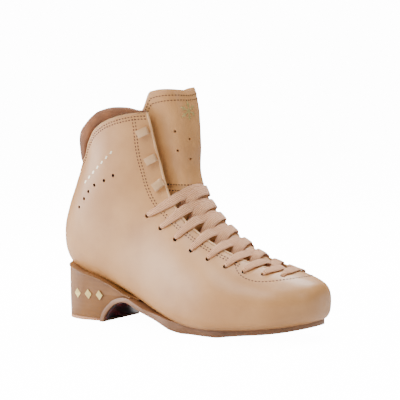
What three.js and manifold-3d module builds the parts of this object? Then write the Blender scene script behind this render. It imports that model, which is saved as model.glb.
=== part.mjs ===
// Right-foot figure skating boot without a blade. Millimetres, +Z up, toe towards +X, inner side +Y.
import * as THREE from 'three';
import { mergeVertices } from 'three/addons/utils/BufferGeometryUtils.js';
import Module from 'manifold-3d';

const wasm = await Module();
wasm.setup();

// ---- Overall sizes ----
const bootLength = 270;        // toe to the back of the heel swell
const ballWidth = 92;          // widest part of the forefoot
const shaftHeight = 194;       // ground to the front corner of the leather collar
const heelHeight = 39;         // ground to the seat under the heel

// ---- Walls and clearances ----
const gap = 0.3;               // between pieces that touch
const leatherWall = 2.0;
const stiffenerWall = 1.0;     // counter, toe puff and facing reinforcement
const liningWall = 1.0;
const boardWall = 2.4;
const footbedWall = 4.0;
const soleWall = 4.0;
const topPieceWall = 3.0;
const breastPanelWall = 0.8;
const tongueLeatherWall = 1.4;
const tongueFeltWall = 3.0;
const padInner = 5.0;          // how far the collar padding stands in from the lining
const padOuter = 1.2;          // how far the suede roll stands out over the leather

// ---- Lacing ----
const laceDiameter = 2.4;
const aglet = { diameter: 3.2, length: 20 };
const eyelet = { bore: 5, wall: 0.5, flange: 7.8, flangeWall: 0.6 };
const hook = { length: 9.5, width: 7, wall: 0.9, throat: 3.0 };
const rivet = { shaft: 2.8, head: 5, headWall: 0.8, tail: 6 };
const airHole = 2.4;           // side and tongue perforations

// ---- Tongue hinge ----
const flexHeight = 127;        // seam that the upper tongue leans back at
const tongueLean = 18;         // degrees
const flexGap = 0.8;

// ---- Heel ----
const heelBaseHalfWidth = 28;
const heelTopHalfWidth = 34.5;
const heelScrew = { shaft: 5, head: 10, headWall: 1.6, depth: 26 };
const soleMargin = 0.6;        // edge let out around the sole's own share of the width
const soleShare = 0.9;         // the sole's width against the widest level of the last above it
const toeTuck = 4.5;           // how far the sole's toe stays behind the upper's
const waistSlim = 0.16;        // narrowing of the sole at the waist
const soleWrap = 1.5;          // how far the sole's edge stands up beside the upper
const lastingMargin = 20;      // leather turned in under the insole board
const shank = { start: 70, end: 165, halfWidth: 7, wall: 1.4 };

// Depths of the layers under the outer face of the leather
const depth = {};
depth.stiffenerOut = leatherWall + gap;
depth.stiffenerIn = depth.stiffenerOut + stiffenerWall;
depth.liningOut = depth.stiffenerIn + gap;
depth.liningIn = depth.liningOut + liningWall;
depth.flangeIn = depth.liningIn + 4 * gap + eyelet.flangeWall;
depth.lace = depth.flangeIn + 0.4 + laceDiameter / 2;
depth.tongue = depth.lace + laceDiameter / 2 + 0.7;

// ---- Last ----
// Each row is one section of the last, fanned from the toe over the instep to the collar:
// top point x, z; bottom point x, z; outer and inner half-width; sideways shift;
// height of the widest level (0 bottom, 1 top); squareness above and below it.
const designLength = 270;
const designHalf = 46;
const designShaft = 194;
const designHeel = 39;
const last = [
  [267.0, 33, 267.0, 31, 0.5, 0.5, 8, 0.45, 2.2, 2.4],
  [266.4, 42, 265.6, 21, 15, 11, 8, 0.45, 2.3, 2.8],
  [263.2, 48.5, 261.5, 16.5, 25, 18, 7.5, 0.42, 2.3, 3.2],
  [254.8, 53, 253, 14.2, 34, 25, 6.5, 0.40, 2.3, 4.6],
  [242, 57.5, 241, 12.0, 40, 32, 4.5, 0.38, 2.2, 5.6],
  [225, 62.5, 224, 9.6, 44, 38, 3, 0.36, 2.1, 6.2],
  [204, 70, 200, 7.0, 47, 43, 1, 0.35, 2.0, 6.6],
  [184, 81, 172, 5.2, 48, 44, 0, 0.34, 2.0, 6.4],
  [166, 94.5, 142, 7.4, 45, 42, 0, 0.33, 2.0, 5.6],
  [151, 110, 112, 15.6, 40, 37, 0, 0.34, 2.1, 4.6],
  [143, 123, 82, 25.5, 36, 34, 0, 0.37, 2.2, 3.4],
  [139.5, 134, 50, 34, 34, 33, 0, 0.41, 2.2, 3.0],
  [137.5, 144, 18, 39, 34, 33, 0, 0.45, 2.2, 2.5],
  [136.2, 153, -3, 56, 34.5, 34, 0, 0.47, 2.2, 2.2],
  [135.2, 162, -7.5, 79, 35.5, 35, 0, 0.48, 2.2, 2.1],
  [134.2, 172, -1.5, 101, 36.5, 36, 0, 0.48, 2.2, 2.1],
  [133, 184, 8.5, 124, 37.5, 37.5, 0, 0.48, 2.2, 2.1],
  [131, 198, 17.5, 147, 39, 39, 0, 0.48, 2.2, 2.1],
  [127, 214, 16, 170, 41, 41, 0, 0.48, 2.2, 2.1],
  [122, 236, 9, 194, 42, 42, 0, 0.48, 2.2, 2.1],
];
const lengthScale = bootLength / designLength;
const widthScale = ballWidth / (2 * designHalf);

// Heights stretch in two stages: up to the heel seat with the heel, above it with the shaft.
function liftZ(z) {
  if (z <= designHeel) return z * heelHeight / designHeel;
  return heelHeight + (z - designHeel) * (shaftHeight - heelHeight) / (designShaft - designHeel);
}

// Row value at station s, as a smooth curve through the rows.
function row(s, column) {
  const i = Math.min(Math.max(Math.floor(s), 0), last.length - 2);
  const f = Math.min(Math.max(s - i, 0), 1);
  const value = (k) => {
    if (k < 0) return 2 * last[0][column] - last[1][column];
    if (k >= last.length) return 2 * last.at(-1)[column] - last.at(-2)[column];
    return last[k][column];
  };
  const [a, b, c, d] = [value(i - 1), value(i), value(i + 1), value(i + 2)];
  return b + 0.5 * f * (c - a + f * (2 * a - 5 * b + 4 * c - d + f * (3 * b - 3 * c + d - a)));
}

const topPoint = (s) => new THREE.Vector3(row(s, 0) * lengthScale, 0, liftZ(row(s, 1)));
const bottomPoint = (s) => new THREE.Vector3(row(s, 2) * lengthScale, 0, liftZ(row(s, 3)));
const halfWidth = (s, side) => row(s, side < 0 ? 4 : 5) * widthScale;
const sideShift = (s) => row(s, 6) * widthScale;

// A point on the last: u turns from the lacing line (0) to the sole (pi), outer side negative.
function facePoint(u, s) {
  const top = topPoint(s);
  const bottom = bottomPoint(s);
  const c = Math.cos(u);
  const power = c > 0 ? row(s, 8) : row(s, 9);
  const r = (Math.abs(c) ** power + Math.abs(Math.sin(u)) ** power) ** (-1 / power);
  const point = bottom.clone().lerp(top, row(s, 7));
  const end = c > 0 ? top : bottom;
  point.lerp(end, Math.abs(c) * r);
  point.y = sideShift(s) + halfWidth(s, u) * Math.sin(u) * r;
  return point;
}

const stationEnd = last.length - 1;

function faceNormal(u, s) {
  const e = 1e-3;
  const at = Math.max(s, 0.02);
  const across = facePoint(u + e, at).sub(facePoint(u - e, at));
  const along = facePoint(u, Math.min(at + e, stationEnd)).sub(facePoint(u, at - e));
  return across.cross(along).normalize();
}

const offsetPoint = (u, s, out) => facePoint(u, s).addScaledVector(faceNormal(u, s), out);

// Angle that lies a given distance along the surface from the lacing line, at station s.
const arcSteps = 60;
const arcTables = new Map();
function angleAt(distance, s) {
  const key = `${Math.sign(distance)} ${s.toFixed(3)}`;
  if (!arcTables.has(key)) {
    const side = Math.sign(distance) || 1;
    const sums = [0];
    let before = facePoint(0, s);
    for (let i = 1; i <= arcSteps; i++) {
      const next = facePoint(side * Math.PI * i / arcSteps, s);
      sums.push(sums[i - 1] + next.distanceTo(before));
      before = next;
    }
    arcTables.set(key, sums);
  }
  const sums = arcTables.get(key);
  const wanted = Math.abs(distance);
  let i = 1;
  while (i < arcSteps && sums[i] < wanted) i++;
  const f = (wanted - sums[i - 1]) / (sums[i] - sums[i - 1]);
  return Math.sign(distance) * Math.PI * (i - 1 + f) / arcSteps;
}
const laidPoint = (distance, s, out) => offsetPoint(angleAt(distance, s), s, out);

// Straight-line table lookup: rows of [station, value], highest station first.
function lookup(table, s) {
  if (s >= table[0][0]) return table[0][1];
  for (let i = 1; i < table.length; i++) {
    const [s1, v1] = table[i - 1];
    const [s0, v0] = table[i];
    if (s >= s0) return v0 + (v1 - v0) * (s - s0) / (s1 - s0);
  }
  return table.at(-1)[1];
}
const smooth = (low, high, x) => THREE.MathUtils.smoothstep(x, low, high);

// Distances along the surface from the lacing line, by station
const openingEdge = [
  [19, 44], [17.2, 43], [16, 40.5], [13.7, 35.5], [11, 33.5], [9, 30], [7.4, 25], [5.8, 19],
  [4.6, 12], [4.1, 6], [3.9, 0],
];
const stayEdge = [[19, 58], [17.2, 57], [14, 54], [11.5, 48], [9, 41.5], [7.4, 36.5], [6.3, 31]];
const lobeEdge = [[6.15, 31], [6.0, 35], [5.6, 37], [5.0, 34], [4.3, 26], [3.6, 15], [3.3, 8]];
const tongueEdge = [[19, 53], [17, 52], [13, 46], [11, 45], [9, 43], [6, 33], [4.3, 24], [3.3, 16]];
const eyelets = [
  [4.28, 19], [5.08, 26.5], [5.8, 32.2], [6.55, 36.7], [7.34, 40], [8.17, 44], [9.05, 48],
  [10.08, 54], [11.2, 61],
];
const hooks = [[12.3, 41.5], [14.45, 45], [16.45, 50.5]];
const airHoles = [
  [14.83, 86.6], [14.87, 98.3], [14.96, 111.2], [14.83, 120.5], [14.6, 128], [14.33, 137],
];
const tongueAirHoles = [[12.98, 7], [14.17, 18], [14.87, 7.2], [15.71, 19.5]];
const sides = [{ name: 'outer', sign: -1 }, { name: 'inner', sign: 1 }];

// ---- Solids ----
function solidFrom(geometry) {
  const bare = geometry.index ? geometry.toNonIndexed() : geometry.clone();
  for (const name of Object.keys(bare.attributes)) {
    if (name !== 'position') bare.deleteAttribute(name);
  }
  const merged = mergeVertices(bare, 1e-4);
  const vertProperties = new Float32Array(merged.attributes.position.array);
  const triVerts = new Uint32Array(merged.index.array);
  return new wasm.Manifold(new wasm.Mesh({ numProp: 3, vertProperties, triVerts }));
}

function geometryFrom(solid) {
  const mesh = solid.getMesh();
  const geometry = new THREE.BufferGeometry();
  geometry.setAttribute('position', new THREE.BufferAttribute(mesh.vertProperties, 3));
  geometry.setIndex(new THREE.BufferAttribute(mesh.triVerts, 1));
  return geometry;
}

// Geometry of triangles over a list of points.
function meshOf(points, triangles) {
  const geometry = new THREE.BufferGeometry();
  geometry.setAttribute('position', new THREE.Float32BufferAttribute(points.flatMap((p) => p.toArray()), 3));
  geometry.setIndex(triangles.flat());
  return geometry;
}

// Rings of points joined into a closed skin, each end closed to its own centre.
function skinOf(rings) {
  const n = rings[0].length;
  const points = rings.flat();
  const triangles = [];
  for (let i = 0; i + 1 < rings.length; i++) {
    for (let j = 0; j < n; j++) {
      const k = (j + 1) % n;
      const [a, b, c, d] = [i * n + j, i * n + k, (i + 1) * n + k, (i + 1) * n + j];
      triangles.push([a, b, c], [a, c, d]);
    }
  }
  for (const end of [0, rings.length - 1]) {
    const middle = rings[end].reduce((sum, p) => sum.add(p), new THREE.Vector3()).divideScalar(n);
    const hub = points.push(middle) - 1;
    for (let j = 0; j < n; j++) {
      const [a, b] = [end * n + j, end * n + (j + 1) % n];
      triangles.push(end ? [a, b, hub] : [b, a, hub]);
    }
  }
  return solidFrom(meshOf(points, triangles));
}

const aroundSteps = 22;
const alongStations = [0.02, 0.2, 0.6, 1.2];
for (let s = 2; s < stationEnd; s += 1.12) alongStations.push(s);
alongStations.push(stationEnd);

// The whole last grown by an offset, which may vary over it.
function grownLast(out) {
  const offset = typeof out === 'function' ? out : () => out;
  return skinOf(alongStations.map((s) => {
    const ring = [];
    for (let j = 0; j < aroundSteps; j++) {
      const u = -Math.PI + 2 * Math.PI * j / aroundSteps;
      ring.push(offsetPoint(u, s, offset(u, s)));
    }
    return ring;
  }));
}

// A curved slab over part of the last. The span functions give its limits.
function slab({ across, along, outer, inner, acrossSteps, alongSteps }) {
  const rings = [];
  for (let i = 0; i <= alongSteps; i++) {
    const ring = [];
    for (const [from, to, face] of [[0, 1, outer], [1, 0, inner]]) {
      for (let j = 0; j <= acrossSteps; j++) {
        const a = from + (to - from) * j / acrossSteps;
        const [s0, s1] = along(a);
        const s = s0 + (s1 - s0) * i / alongSteps;
        const [d0, d1] = across(s);
        const distance = d0 + (d1 - d0) * a;
        ring.push(laidPoint(distance, s, face(distance, s)));
      }
    }
    rings.push(ring);
  }
  return skinStrip(rings);
}

// Rings whose two halves face each other, closed at both ends by quads across the thickness.
function skinStrip(rings) {
  const n = rings[0].length;
  const points = rings.flat();
  const triangles = [];
  for (let i = 0; i + 1 < rings.length; i++) {
    for (let j = 0; j < n; j++) {
      const k = (j + 1) % n;
      const [a, b, c, d] = [i * n + j, i * n + k, (i + 1) * n + k, (i + 1) * n + j];
      triangles.push([a, b, c], [a, c, d]);
    }
  }
  for (let j = 0; j + 1 < n / 2; j++) {
    for (const base of [0, (rings.length - 1) * n]) {
      const [a, b, c, d] = [base + j, base + j + 1, base + n - 2 - j, base + n - 1 - j];
      triangles.push(...(base ? [[a, b, c], [a, c, d]] : [[b, a, c], [c, a, d]]));
    }
  }
  return solidFrom(meshOf(points, triangles));
}

// A side outline, x and z, as a block right across the boot.
function sideBlock(outline, halfSpan = 80) {
  const shape = new THREE.Shape(outline.map(([x, z]) => new THREE.Vector2(x, z)));
  const geometry = new THREE.ExtrudeGeometry(shape, { depth: 2 * halfSpan, bevelEnabled: false });
  geometry.rotateX(Math.PI / 2);
  geometry.translate(0, halfSpan, 0);
  return solidFrom(geometry);
}

// A plan outline, x and y, as an upright block.
function planBlock(outline, low, high) {
  const shape = new THREE.Shape(outline.map(([x, y]) => new THREE.Vector2(x, y)));
  const geometry = new THREE.ExtrudeGeometry(shape, { depth: high - low, bevelEnabled: false });
  geometry.translate(0, 0, low);
  return solidFrom(geometry);
}

// A pin along the surface normal at a laid point, from depth `low` to `high` over the leather.
function pinAt(distance, s, radius, low, high, segments = 8) {
  const geometry = new THREE.CylinderGeometry(radius, radius, high - low, segments);
  geometry.translate(0, (high + low) / 2, 0);
  return solidFrom(geometry.applyMatrix4(placeOn(distance, s)));
}

// Frame at a laid point: y out of the surface, x away from the lacing line.
function placeOn(distance, s) {
  const u = angleAt(distance, s);
  const out = faceNormal(u, s);
  const away = laidPoint(distance + Math.sign(distance || 1), s, 0).sub(laidPoint(distance, s, 0));
  away.addScaledVector(out, -away.dot(out)).normalize();
  const along = new THREE.Vector3().crossVectors(away, out);
  return new THREE.Matrix4().makeBasis(away, out, along).setPosition(facePoint(u, s));
}

const cutAll = (solid, cutters) => cutters.reduce((left, cutter) => left.subtract(cutter), solid);

function splinePoints(points, count, closed = false) {
  const curve = new THREE.CatmullRomCurve3(points.map((p) => new THREE.Vector3(...p)), closed, 'centripetal');
  return curve.getSpacedPoints(count);
}

// ---- Side outlines ----
const X = (x) => x * lengthScale;
const outlineCurve = (points, count) => splinePoints(points.map(([x, z]) => [X(x), 0, liftZ(z)]), count)
  .map((p) => [p.x, p.z]);
const raised = (line, rise) => line.map(([x, z]) => [x, z + rise]);
const footLine = alongStations.filter((s) => s > 1.9 && s < 12.2)
  .map((s) => [bottomPoint(s).x, bottomPoint(s).z]);
footLine.unshift([X(290), liftZ(23)]);
footLine.push([X(-25), liftZ(41)]);
const seatBand = (low, high) => sideBlock([...raised(footLine, low), ...raised(footLine, high).reverse()]);
const belowSeat = (rise) => sideBlock([...raised(footLine, rise), [X(-25), -20], [X(290), -20]]);

const collarLine = outlineCurve([
  [-10, 139], [10, 142], [22, 146], [34.7, 154], [40.7, 165], [51, 177], [64, 185], [78, 190],
  [95, 193.5], [110, 194.5], [140, 195],
], 40);
const aboveCollar = (rise) => sideBlock([...raised(collarLine, rise), [X(140), 300], [X(-10), 300]]);
const rollLine = outlineCurve([
  [-10, 154], [8, 161], [17, 170], [28, 177.5], [38.5, 183], [47, 188.5], [57, 194], [73, 197.8],
  [90, 198], [101, 195.6], [140, 195],
], 40);
const padLine = outlineCurve([[-20, 106], [10, 110], [40, 128], [70, 148], [100, 160], [140, 165]], 24);

// ---- Cutters that several pieces share ----
const openingCutter = slab({
  across: (s) => [-lookup(openingEdge, s), lookup(openingEdge, s)],
  along: () => [3.95, stationEnd],
  outer: () => 12,
  inner: () => -14,
  acrossSteps: 6,
  alongSteps: 20,
});
const eyeletBores = (radius, segments) => sides.flatMap(({ sign }) => eyelets.map(([s, d]) =>
  pinAt(sign * d, s, radius, -14, 4, segments)));
const rivetBores = (radius, segments) => sides.flatMap(({ sign }) => hooks.map(([s, d]) =>
  pinAt(sign * d, s, radius, -14, 4, segments)));
const sideVents = sides.flatMap(({ sign }) => airHoles.map(([s, d]) =>
  pinAt(sign * d, s, airHole / 2, -depth.liningIn - 2, 4, 5)));
const eyeletBore = eyelet.bore / 2 + eyelet.wall + gap;
const rivetBore = rivet.shaft / 2 + gap;

const inside = (layer) => grownLast(-layer);
const shell = (outerDepth, innerDepth) => inside(outerDepth).subtract(inside(innerDepth));

// Plan outline of the sole: a share of the section's width let out by a margin, less a spare all round.
function footPlan(share, margin, fromX, spare = 0) {
  const outer = [];
  const inner = [];
  for (let s = 0.1; s <= 12; s += s < 2 ? 0.35 : 0.6) {
    const x = bottomPoint(s).x;
    if (x < fromX + 0.5) break;
    if (margin < 0 && x > X(250)) continue;
    const tuck = margin > 0 ? toeTuck * smooth(X(232), X(267), x) : 0;
    const slim = margin > 0 ? 1 - waistSlim * smooth(X(150), X(112), x) : 1;
    const [low, high] = [-1, 1].map((side) => halfWidth(s, side) * share * slim + margin);
    if (Math.min(low, high) < 1) continue;
    outer.push([x - tuck - spare, sideShift(s) - low + spare]);
    inner.push([x - tuck - spare, sideShift(s) + high - spare]);
  }
  return [...outer, [fromX, outer.at(-1)[1]], [fromX, inner.at(-1)[1]], ...inner.reverse()];
}

// ---- Upper and what is sewn inside it ----
const lastingHole = planBlock(footPlan(1, -lastingMargin, X(20)), -20, liftZ(60)).intersect(belowSeat(4.5));

function upper() {
  const leather = cutAll(inside(0).subtract(inside(leatherWall)), [openingCutter, aboveCollar(0)]);
  const drilled = cutAll(leather, [...eyeletBores(eyeletBore), ...rivetBores(rivetBore), ...sideVents]);
  return drilled.subtract(lastingHole);
}

const boardTop = leatherWall + gap + boardWall;

function lining() {
  const sock = shell(depth.liningOut, depth.liningIn);
  const open = cutAll(sock, [openingCutter, belowSeat(boardTop + gap), collarPadSpace(gap), aboveCollar(0)]);
  const drilled = cutAll(open, [...eyeletBores(eyeletBore + 0.5, 6), ...rivetBores(rivetBore + 0.3, 6)]);
  return drilled.subtract(sideBlock([[X(235), 0], [X(300), 0], [X(300), 80], [X(235), 80]]));
}

// Depth of the padding's inner face: it thins out towards the front edges.
const padDepth = (u) => depth.liningIn + padInner * smooth(1.35, 1.9, Math.abs(u));

function collarPadSpace(spare) {
  const around = grownLast(padOuter + spare).subtract(grownLast((u) => -padDepth(u) - spare));
  const abovePad = sideBlock([...raised(padLine, -spare), [X(140), 300], [X(-20), 300]]);
  return around.intersect(abovePad);
}

function collarPadding() {
  const around = grownLast(padOuter).subtract(grownLast((u) => -padDepth(u)));
  const abovePad = sideBlock([...padLine, [X(140), 300], [X(-20), 300]]);
  const belowRoll = sideBlock([...rollLine, [X(140), -10], [X(-10), -10]]);
  const band = around.intersect(abovePad).intersect(belowRoll);
  const leatherSpace = inside(-padOuter - 1).subtract(inside(depth.liningOut)).subtract(aboveCollar(gap));
  return cutAll(band, [leatherSpace, openingCutter, ...rivetBores(rivetBore + 0.3, 6)]);
}

function heelCounter() {
  const wrap = outlineCurve([[-20, 94], [5, 92], [30, 82], [55, 66], [78, 52], [84, 40]], 16);
  const area = sideBlock([...wrap, [X(84), 0], [X(-20), 0]]);
  return shell(depth.stiffenerOut, depth.stiffenerIn).intersect(area).subtract(belowSeat(boardTop + gap));
}

const toeArea = (back) => sideBlock([[X(238) - back, 0], [X(300), 0], [X(300), 80], [X(260) - back, 80]]);

function toePuff() {
  const cap = shell(depth.stiffenerOut, depth.stiffenerIn).intersect(toeArea(0));
  return cap.subtract(belowSeat(boardTop + gap));
}

// Part of the stiffener layer, between limits laid out on the surface.
function stiffenerOver(limits) {
  const area = slab({ ...limits, outer: () => 2, inner: () => -9 });
  return shell(depth.stiffenerOut, depth.stiffenerIn).intersect(area);
}

function facingReinforcement(sign) {
  const strip = stiffenerOver({
    across: (s) => [sign * lookup(openingEdge, s), sign * lookup(stayEdge, s)].sort((a, b) => a - b),
    along: () => [6.3, 18.4],
    acrossSteps: 1,
    alongSteps: 10,
  });
  return cutAll(strip, [openingCutter, aboveCollar(-gap), ...rivetBores(rivetBore + 0.3, 6)]);
}

function throatReinforcement() {
  const lobe = stiffenerOver({
    across: (s) => [-lookup(lobeEdge, s), lookup(lobeEdge, s)],
    along: () => [3.3, 6.1],
    acrossSteps: 6,
    alongSteps: 5,
  });
  return cutAll(lobe, [openingCutter, toeArea(gap), ...eyeletBores(eyeletBore + 0.5, 6)]);
}

// ---- Foot bed and bottom ----
const screwX = X(26);
function seatAt(x) {
  const i = footLine.findIndex(([px]) => px < x);
  const [[x1, z1], [x0, z0]] = [footLine[i - 1], footLine[i]];
  return z0 + (z1 - z0) * (x - x0) / (x1 - x0);
}
const screwBore = (radius) => {
  const pin = new THREE.CylinderGeometry(radius, radius, 90, 16).rotateX(Math.PI / 2);
  return solidFrom(pin.translate(screwX, 0, heelHeight));
};

function insoleBoard() {
  const board = inside(depth.stiffenerOut).intersect(seatBand(leatherWall + gap, boardTop));
  return board.subtract(screwBore(heelScrew.head / 2 + gap));
}

function footbed() {
  const low = boardTop + gap;
  return inside(depth.liningIn + gap).intersect(seatBand(low, low + footbedWall));
}

function corkFiller() {
  const plan = planBlock(footPlan(1, -lastingMargin, X(20) + gap, 2 * gap), -20, liftZ(60));
  const layer = seatBand(-1, leatherWall).intersect(plan).intersect(inside(0));
  return cutAll(layer, [shankBlock(gap), screwBore(heelScrew.head / 2 + gap)]);
}

function shankBlock(spare) {
  const plan = planBlock([
    [X(shank.start) - spare, -shank.halfWidth - spare], [X(shank.end) + spare, -shank.halfWidth - spare],
    [X(shank.end) + spare, shank.halfWidth + spare], [X(shank.start) - spare, shank.halfWidth + spare],
  ], -20, 60);
  return seatBand(gap / 2 + (spare ? -1 : gap), gap + shank.wall + (spare ? 1 : 0)).intersect(plan);
}

// Lower face of the sole, from the toe to the ground at the heel breast.
const treadLine = outlineCurve([
  [290, 18], [272, 14.4], [260, 12.0], [250, 9.9], [240, 8.0], [224, 5.6], [208, 3.7], [194, 1.7],
  [183, 0], [149, 0], [138, 2.4], [121, 8.6], [105, 14.2], [94, 17.7], [86, 20.6], [78.7, 21.3],
  [71, 19.6], [66, 17.4], [61.6, 14], [57.4, 9.5], [54.5, 5], [53, 0],
], 90).map(([x, z]) => [x, Math.max(z, 0)]);

// The same line moved square to itself, into the boot.
function insetLine(line, distance) {
  return line.map(([x, z], i) => {
    const [x0, z0] = line[Math.max(i - 1, 0)];
    const [x1, z1] = line[Math.min(i + 1, line.length - 1)];
    const length = Math.hypot(x1 - x0, z1 - z0);
    return [x + (z1 - z0) / length * distance, z - (x1 - x0) / length * distance];
  });
}
const waistEnd = 108;          // the sole keeps its own thickness behind here
const breastPart = (line) => line.filter(([x]) => x < X(waistEnd));
const breastFrom = (distance) => breastPart(insetLine(treadLine, distance));

function outsole() {
  const inner = breastFrom(soleWall);
  const foot = raised(footLine, soleWrap).filter(([x]) => x > X(waistEnd));
  const over = inner.toReversed().filter(([, z]) => z > 0);
  const outline = [...treadLine, [inner.at(-1)[0], 0], ...over, ...foot.reverse()];
  const plan = footPlan(soleShare, soleMargin, X(104));
  const heelHalf = heelBaseHalfWidth * widthScale;
  const waist = [[X(62), heelHalf], [X(40), heelHalf], [X(40), -heelHalf], [X(62), -heelHalf]];
  const turn = plan.findIndex(([x]) => x === X(104));
  const wholePlan = [...plan.slice(0, turn + 1), ...waist.reverse(), ...plan.slice(turn + 1)];
  return sideBlock(outline).intersect(planBlock(wholePlan, -5, 60)).subtract(inside(-gap));
}

function breastPanel() {
  const line = treadLine.filter(([x, z]) => x < X(150) && z > 1.5);
  const low = insetLine(line, -gap - breastPanelWall).filter(([, z]) => z > 0.4);
  const high = insetLine(line, -gap).filter(([, z]) => z > 0.4);
  const halfFront = 26 * widthScale;
  const halfBack = (heelBaseHalfWidth - 2) * widthScale;
  const plan = planBlock([[X(48), -halfBack], [X(84), -halfBack], [X(152), -halfFront],
    [X(152), halfFront], [X(84), halfBack], [X(48), halfBack]], -5, 60);
  return sideBlock([...low, ...high.reverse()]).intersect(plan);
}

// D-shaped section of the heel at one height.
function heelRing(z, back, half, count = 28) {
  const ring = [];
  const turns = count - 4;
  for (let j = 0; j <= turns; j++) {
    const a = Math.PI / 2 + Math.PI * j / turns;
    const round = (Math.abs(Math.cos(a)) ** 2.3 + Math.abs(Math.sin(a)) ** 2.3) ** (-1 / 2.3);
    ring.push(new THREE.Vector3(back + half * (1 + Math.cos(a) * round), half * Math.sin(a) * round, z));
  }
  ring.push(new THREE.Vector3(X(100), -half * 0.9, z), new THREE.Vector3(X(100), half * 0.9, z));
  return ring;
}

function heelBlock() {
  const low = topPieceWall + gap;
  const baseHalf = heelBaseHalfWidth * widthScale;
  const topHalf = heelTopHalfWidth * widthScale;
  const back = X(2);
  const levels = [0, 0.2, 0.45, 0.7, 0.88, 1].map((f) => {
    const flare = f ** 1.8;
    const backX = back + 1.5 * flare - 2.5 * f * (1 - f);
    return heelRing(low + (liftZ(54) - low) * f, backX, baseHalf + (topHalf - baseHalf) * flare);
  });
  const rim = outlineCurve([
    [-20, 53], [2, 52.5], [17, 50], [28, 46.5], [45.5, 42.5], [63, 36.5], [77, 29.5], [94, 24.4],
  ], 24);
  const breast = breastFrom(soleWall + gap).filter(([x, z]) => z > low && x < X(92)).reverse();
  const profile = sideBlock([[X(-20), low], [breast[0][0], low], ...breast, ...rim.toReversed()]);
  const bore = heelScrew.shaft / 2 + gap;
  const screwHole = new THREE.CylinderGeometry(bore, bore, heelScrew.depth + 16, 16);
  screwHole.rotateX(Math.PI / 2).translate(screwX, 0, seatAt(screwX) - heelScrew.depth / 2);
  const block = skinOf(levels).intersect(profile);
  return cutAll(block, [inside(-gap), solidFrom(screwHole)]);
}

function heelTopPiece() {
  const ring = heelRing(0, X(2), heelBaseHalfWidth * widthScale);
  const edge = breastFrom(soleWall + gap).filter(([, z]) => z < topPieceWall + 3).at(-1)[0];
  const outline = ring.map((p) => [Math.min(p.x, edge - 0.4), p.y]);
  return planBlock(outline, 0, topPieceWall);
}

function heelScrewSolid() {
  const top = seatAt(screwX) + boardTop - 0.6;
  const r = heelScrew.shaft / 2;
  const R = heelScrew.head / 2;
  const { depth: long, headWall } = heelScrew;
  const profile = [[0, -long - 8], [r, -long - 6], [r, -headWall], [R, -headWall], [R, 0], [0, 0]];
  const geometry = new THREE.LatheGeometry(profile.map(([x, y]) => new THREE.Vector2(x, y)), 16);
  return solidFrom(geometry.rotateX(Math.PI / 2).translate(screwX, 0, top));
}

// ---- Tongue ----
const tongueRise = -1.2;       // how far the middle of the tongue lies under the face of the last
const tongueFace = (distance, s) => {
  const edge = lookup(openingEdge, s);
  const bulge = smooth(8, 22, edge) * (1 - smooth(edge * 0.3, edge, Math.abs(distance)));
  return -depth.tongue + (depth.tongue - tongueRise) * bulge;
};

// Station at which a strand of the surface crosses a height.
function stationAt(distance, height, s = 12) {
  let [low, high] = [s - 4, s + 5];
  for (let i = 0; i < 24; i++) {
    const middle = (low + high) / 2;
    if (laidPoint(distance, middle, 0).z < height) low = middle;
    else high = middle;
  }
  return (low + high) / 2;
}
const tongueSpan = (s) => [-lookup(tongueEdge, s), lookup(tongueEdge, s)];
// The upper part's lower edge rises behind the hinge, so that it clears the lower part as it leans back.
const leanSlope = Math.tan(THREE.MathUtils.degToRad(tongueLean));
const lowerEnd = (a) => stationAt((2 * a - 1) * lookup(tongueEdge, 12), flexHeight - flexGap / 2);
function upperStart(a, thickness) {
  const distance = (2 * a - 1) * lookup(tongueEdge, 12);
  const hinge = facePoint(0, stationAt(0, flexHeight));
  const behind = hinge.x - laidPoint(distance, 12, tongueFace(distance, 12) - thickness).x;
  return stationAt(distance, flexHeight + flexGap / 2 + Math.max(behind, 0) * leanSlope);
}
const tongueTop = (a) => {
  const x = Math.abs(2 * a - 1);
  return 17.95 + 0.35 * smooth(0, 0.6, x) - 0.75 * smooth(0.7, 1, x);
};

function tongueLayer(part, top, bottom) {
  const lower = part === 'lower';
  return slab({
    across: tongueSpan,
    along: (a) => (lower ? [3.3, lowerEnd(a)] : [upperStart(a, bottom), tongueTop(a)]),
    outer: (d, s) => tongueFace(d, s) - top,
    inner: (d, s) => tongueFace(d, s) - bottom,
    acrossSteps: 10,
    alongSteps: lower ? 14 : 9,
  });
}
const tongueVents = () => tongueAirHoles.map(([s, d]) => pinAt(-d, s, airHole / 2, -20, 8, 5))
  .concat(tongueAirHoles.map(([s, d]) => pinAt(d, s, airHole / 2, -20, 8, 5)));

const tongueLeather = (part) => {
  const layer = tongueLayer(part, 0, tongueLeatherWall);
  return part === 'upper' ? cutAll(layer, tongueVents()) : layer;
};
const tongueFelt = (part) => {
  const top = tongueLeatherWall + 4 * gap;
  return tongueLayer(part, top, top + tongueFeltWall);
};

// ---- Metal pieces ----
function latheOn(profile, distance, s, segments = 8) {
  const geometry = new THREE.LatheGeometry(profile.map(([r, y]) => new THREE.Vector2(r, y)), segments);
  return geometry.applyMatrix4(placeOn(distance, s));
}

function eyeletRing(distance, s) {
  const r = eyelet.bore / 2;
  const R = r + eyelet.wall;
  const F = eyelet.flange / 2;
  const low = -depth.flangeIn;
  const seat = low + eyelet.flangeWall;
  const profile = [[r, low], [F, low], [F, seat], [R, seat], [R, -0.2], [r, -0.2], [r, low]];
  return latheOn(profile, distance, s);
}

function hookRivet(distance, s) {
  const r = rivet.shaft / 2;
  const head = gap + hook.wall + gap;
  const low = -depth.flangeIn;
  const [T, R] = [rivet.tail / 2, rivet.head / 2];
  const [seat, top] = [head + 0.2, head + 0.2 + rivet.headWall];
  const profile = [[0, low], [T, low], [T, low + 0.6], [r, low + 0.6], [r, seat], [R, seat],
    [R - 0.5, top], [0, top]];
  return latheOn(profile, distance, s);
}

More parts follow.
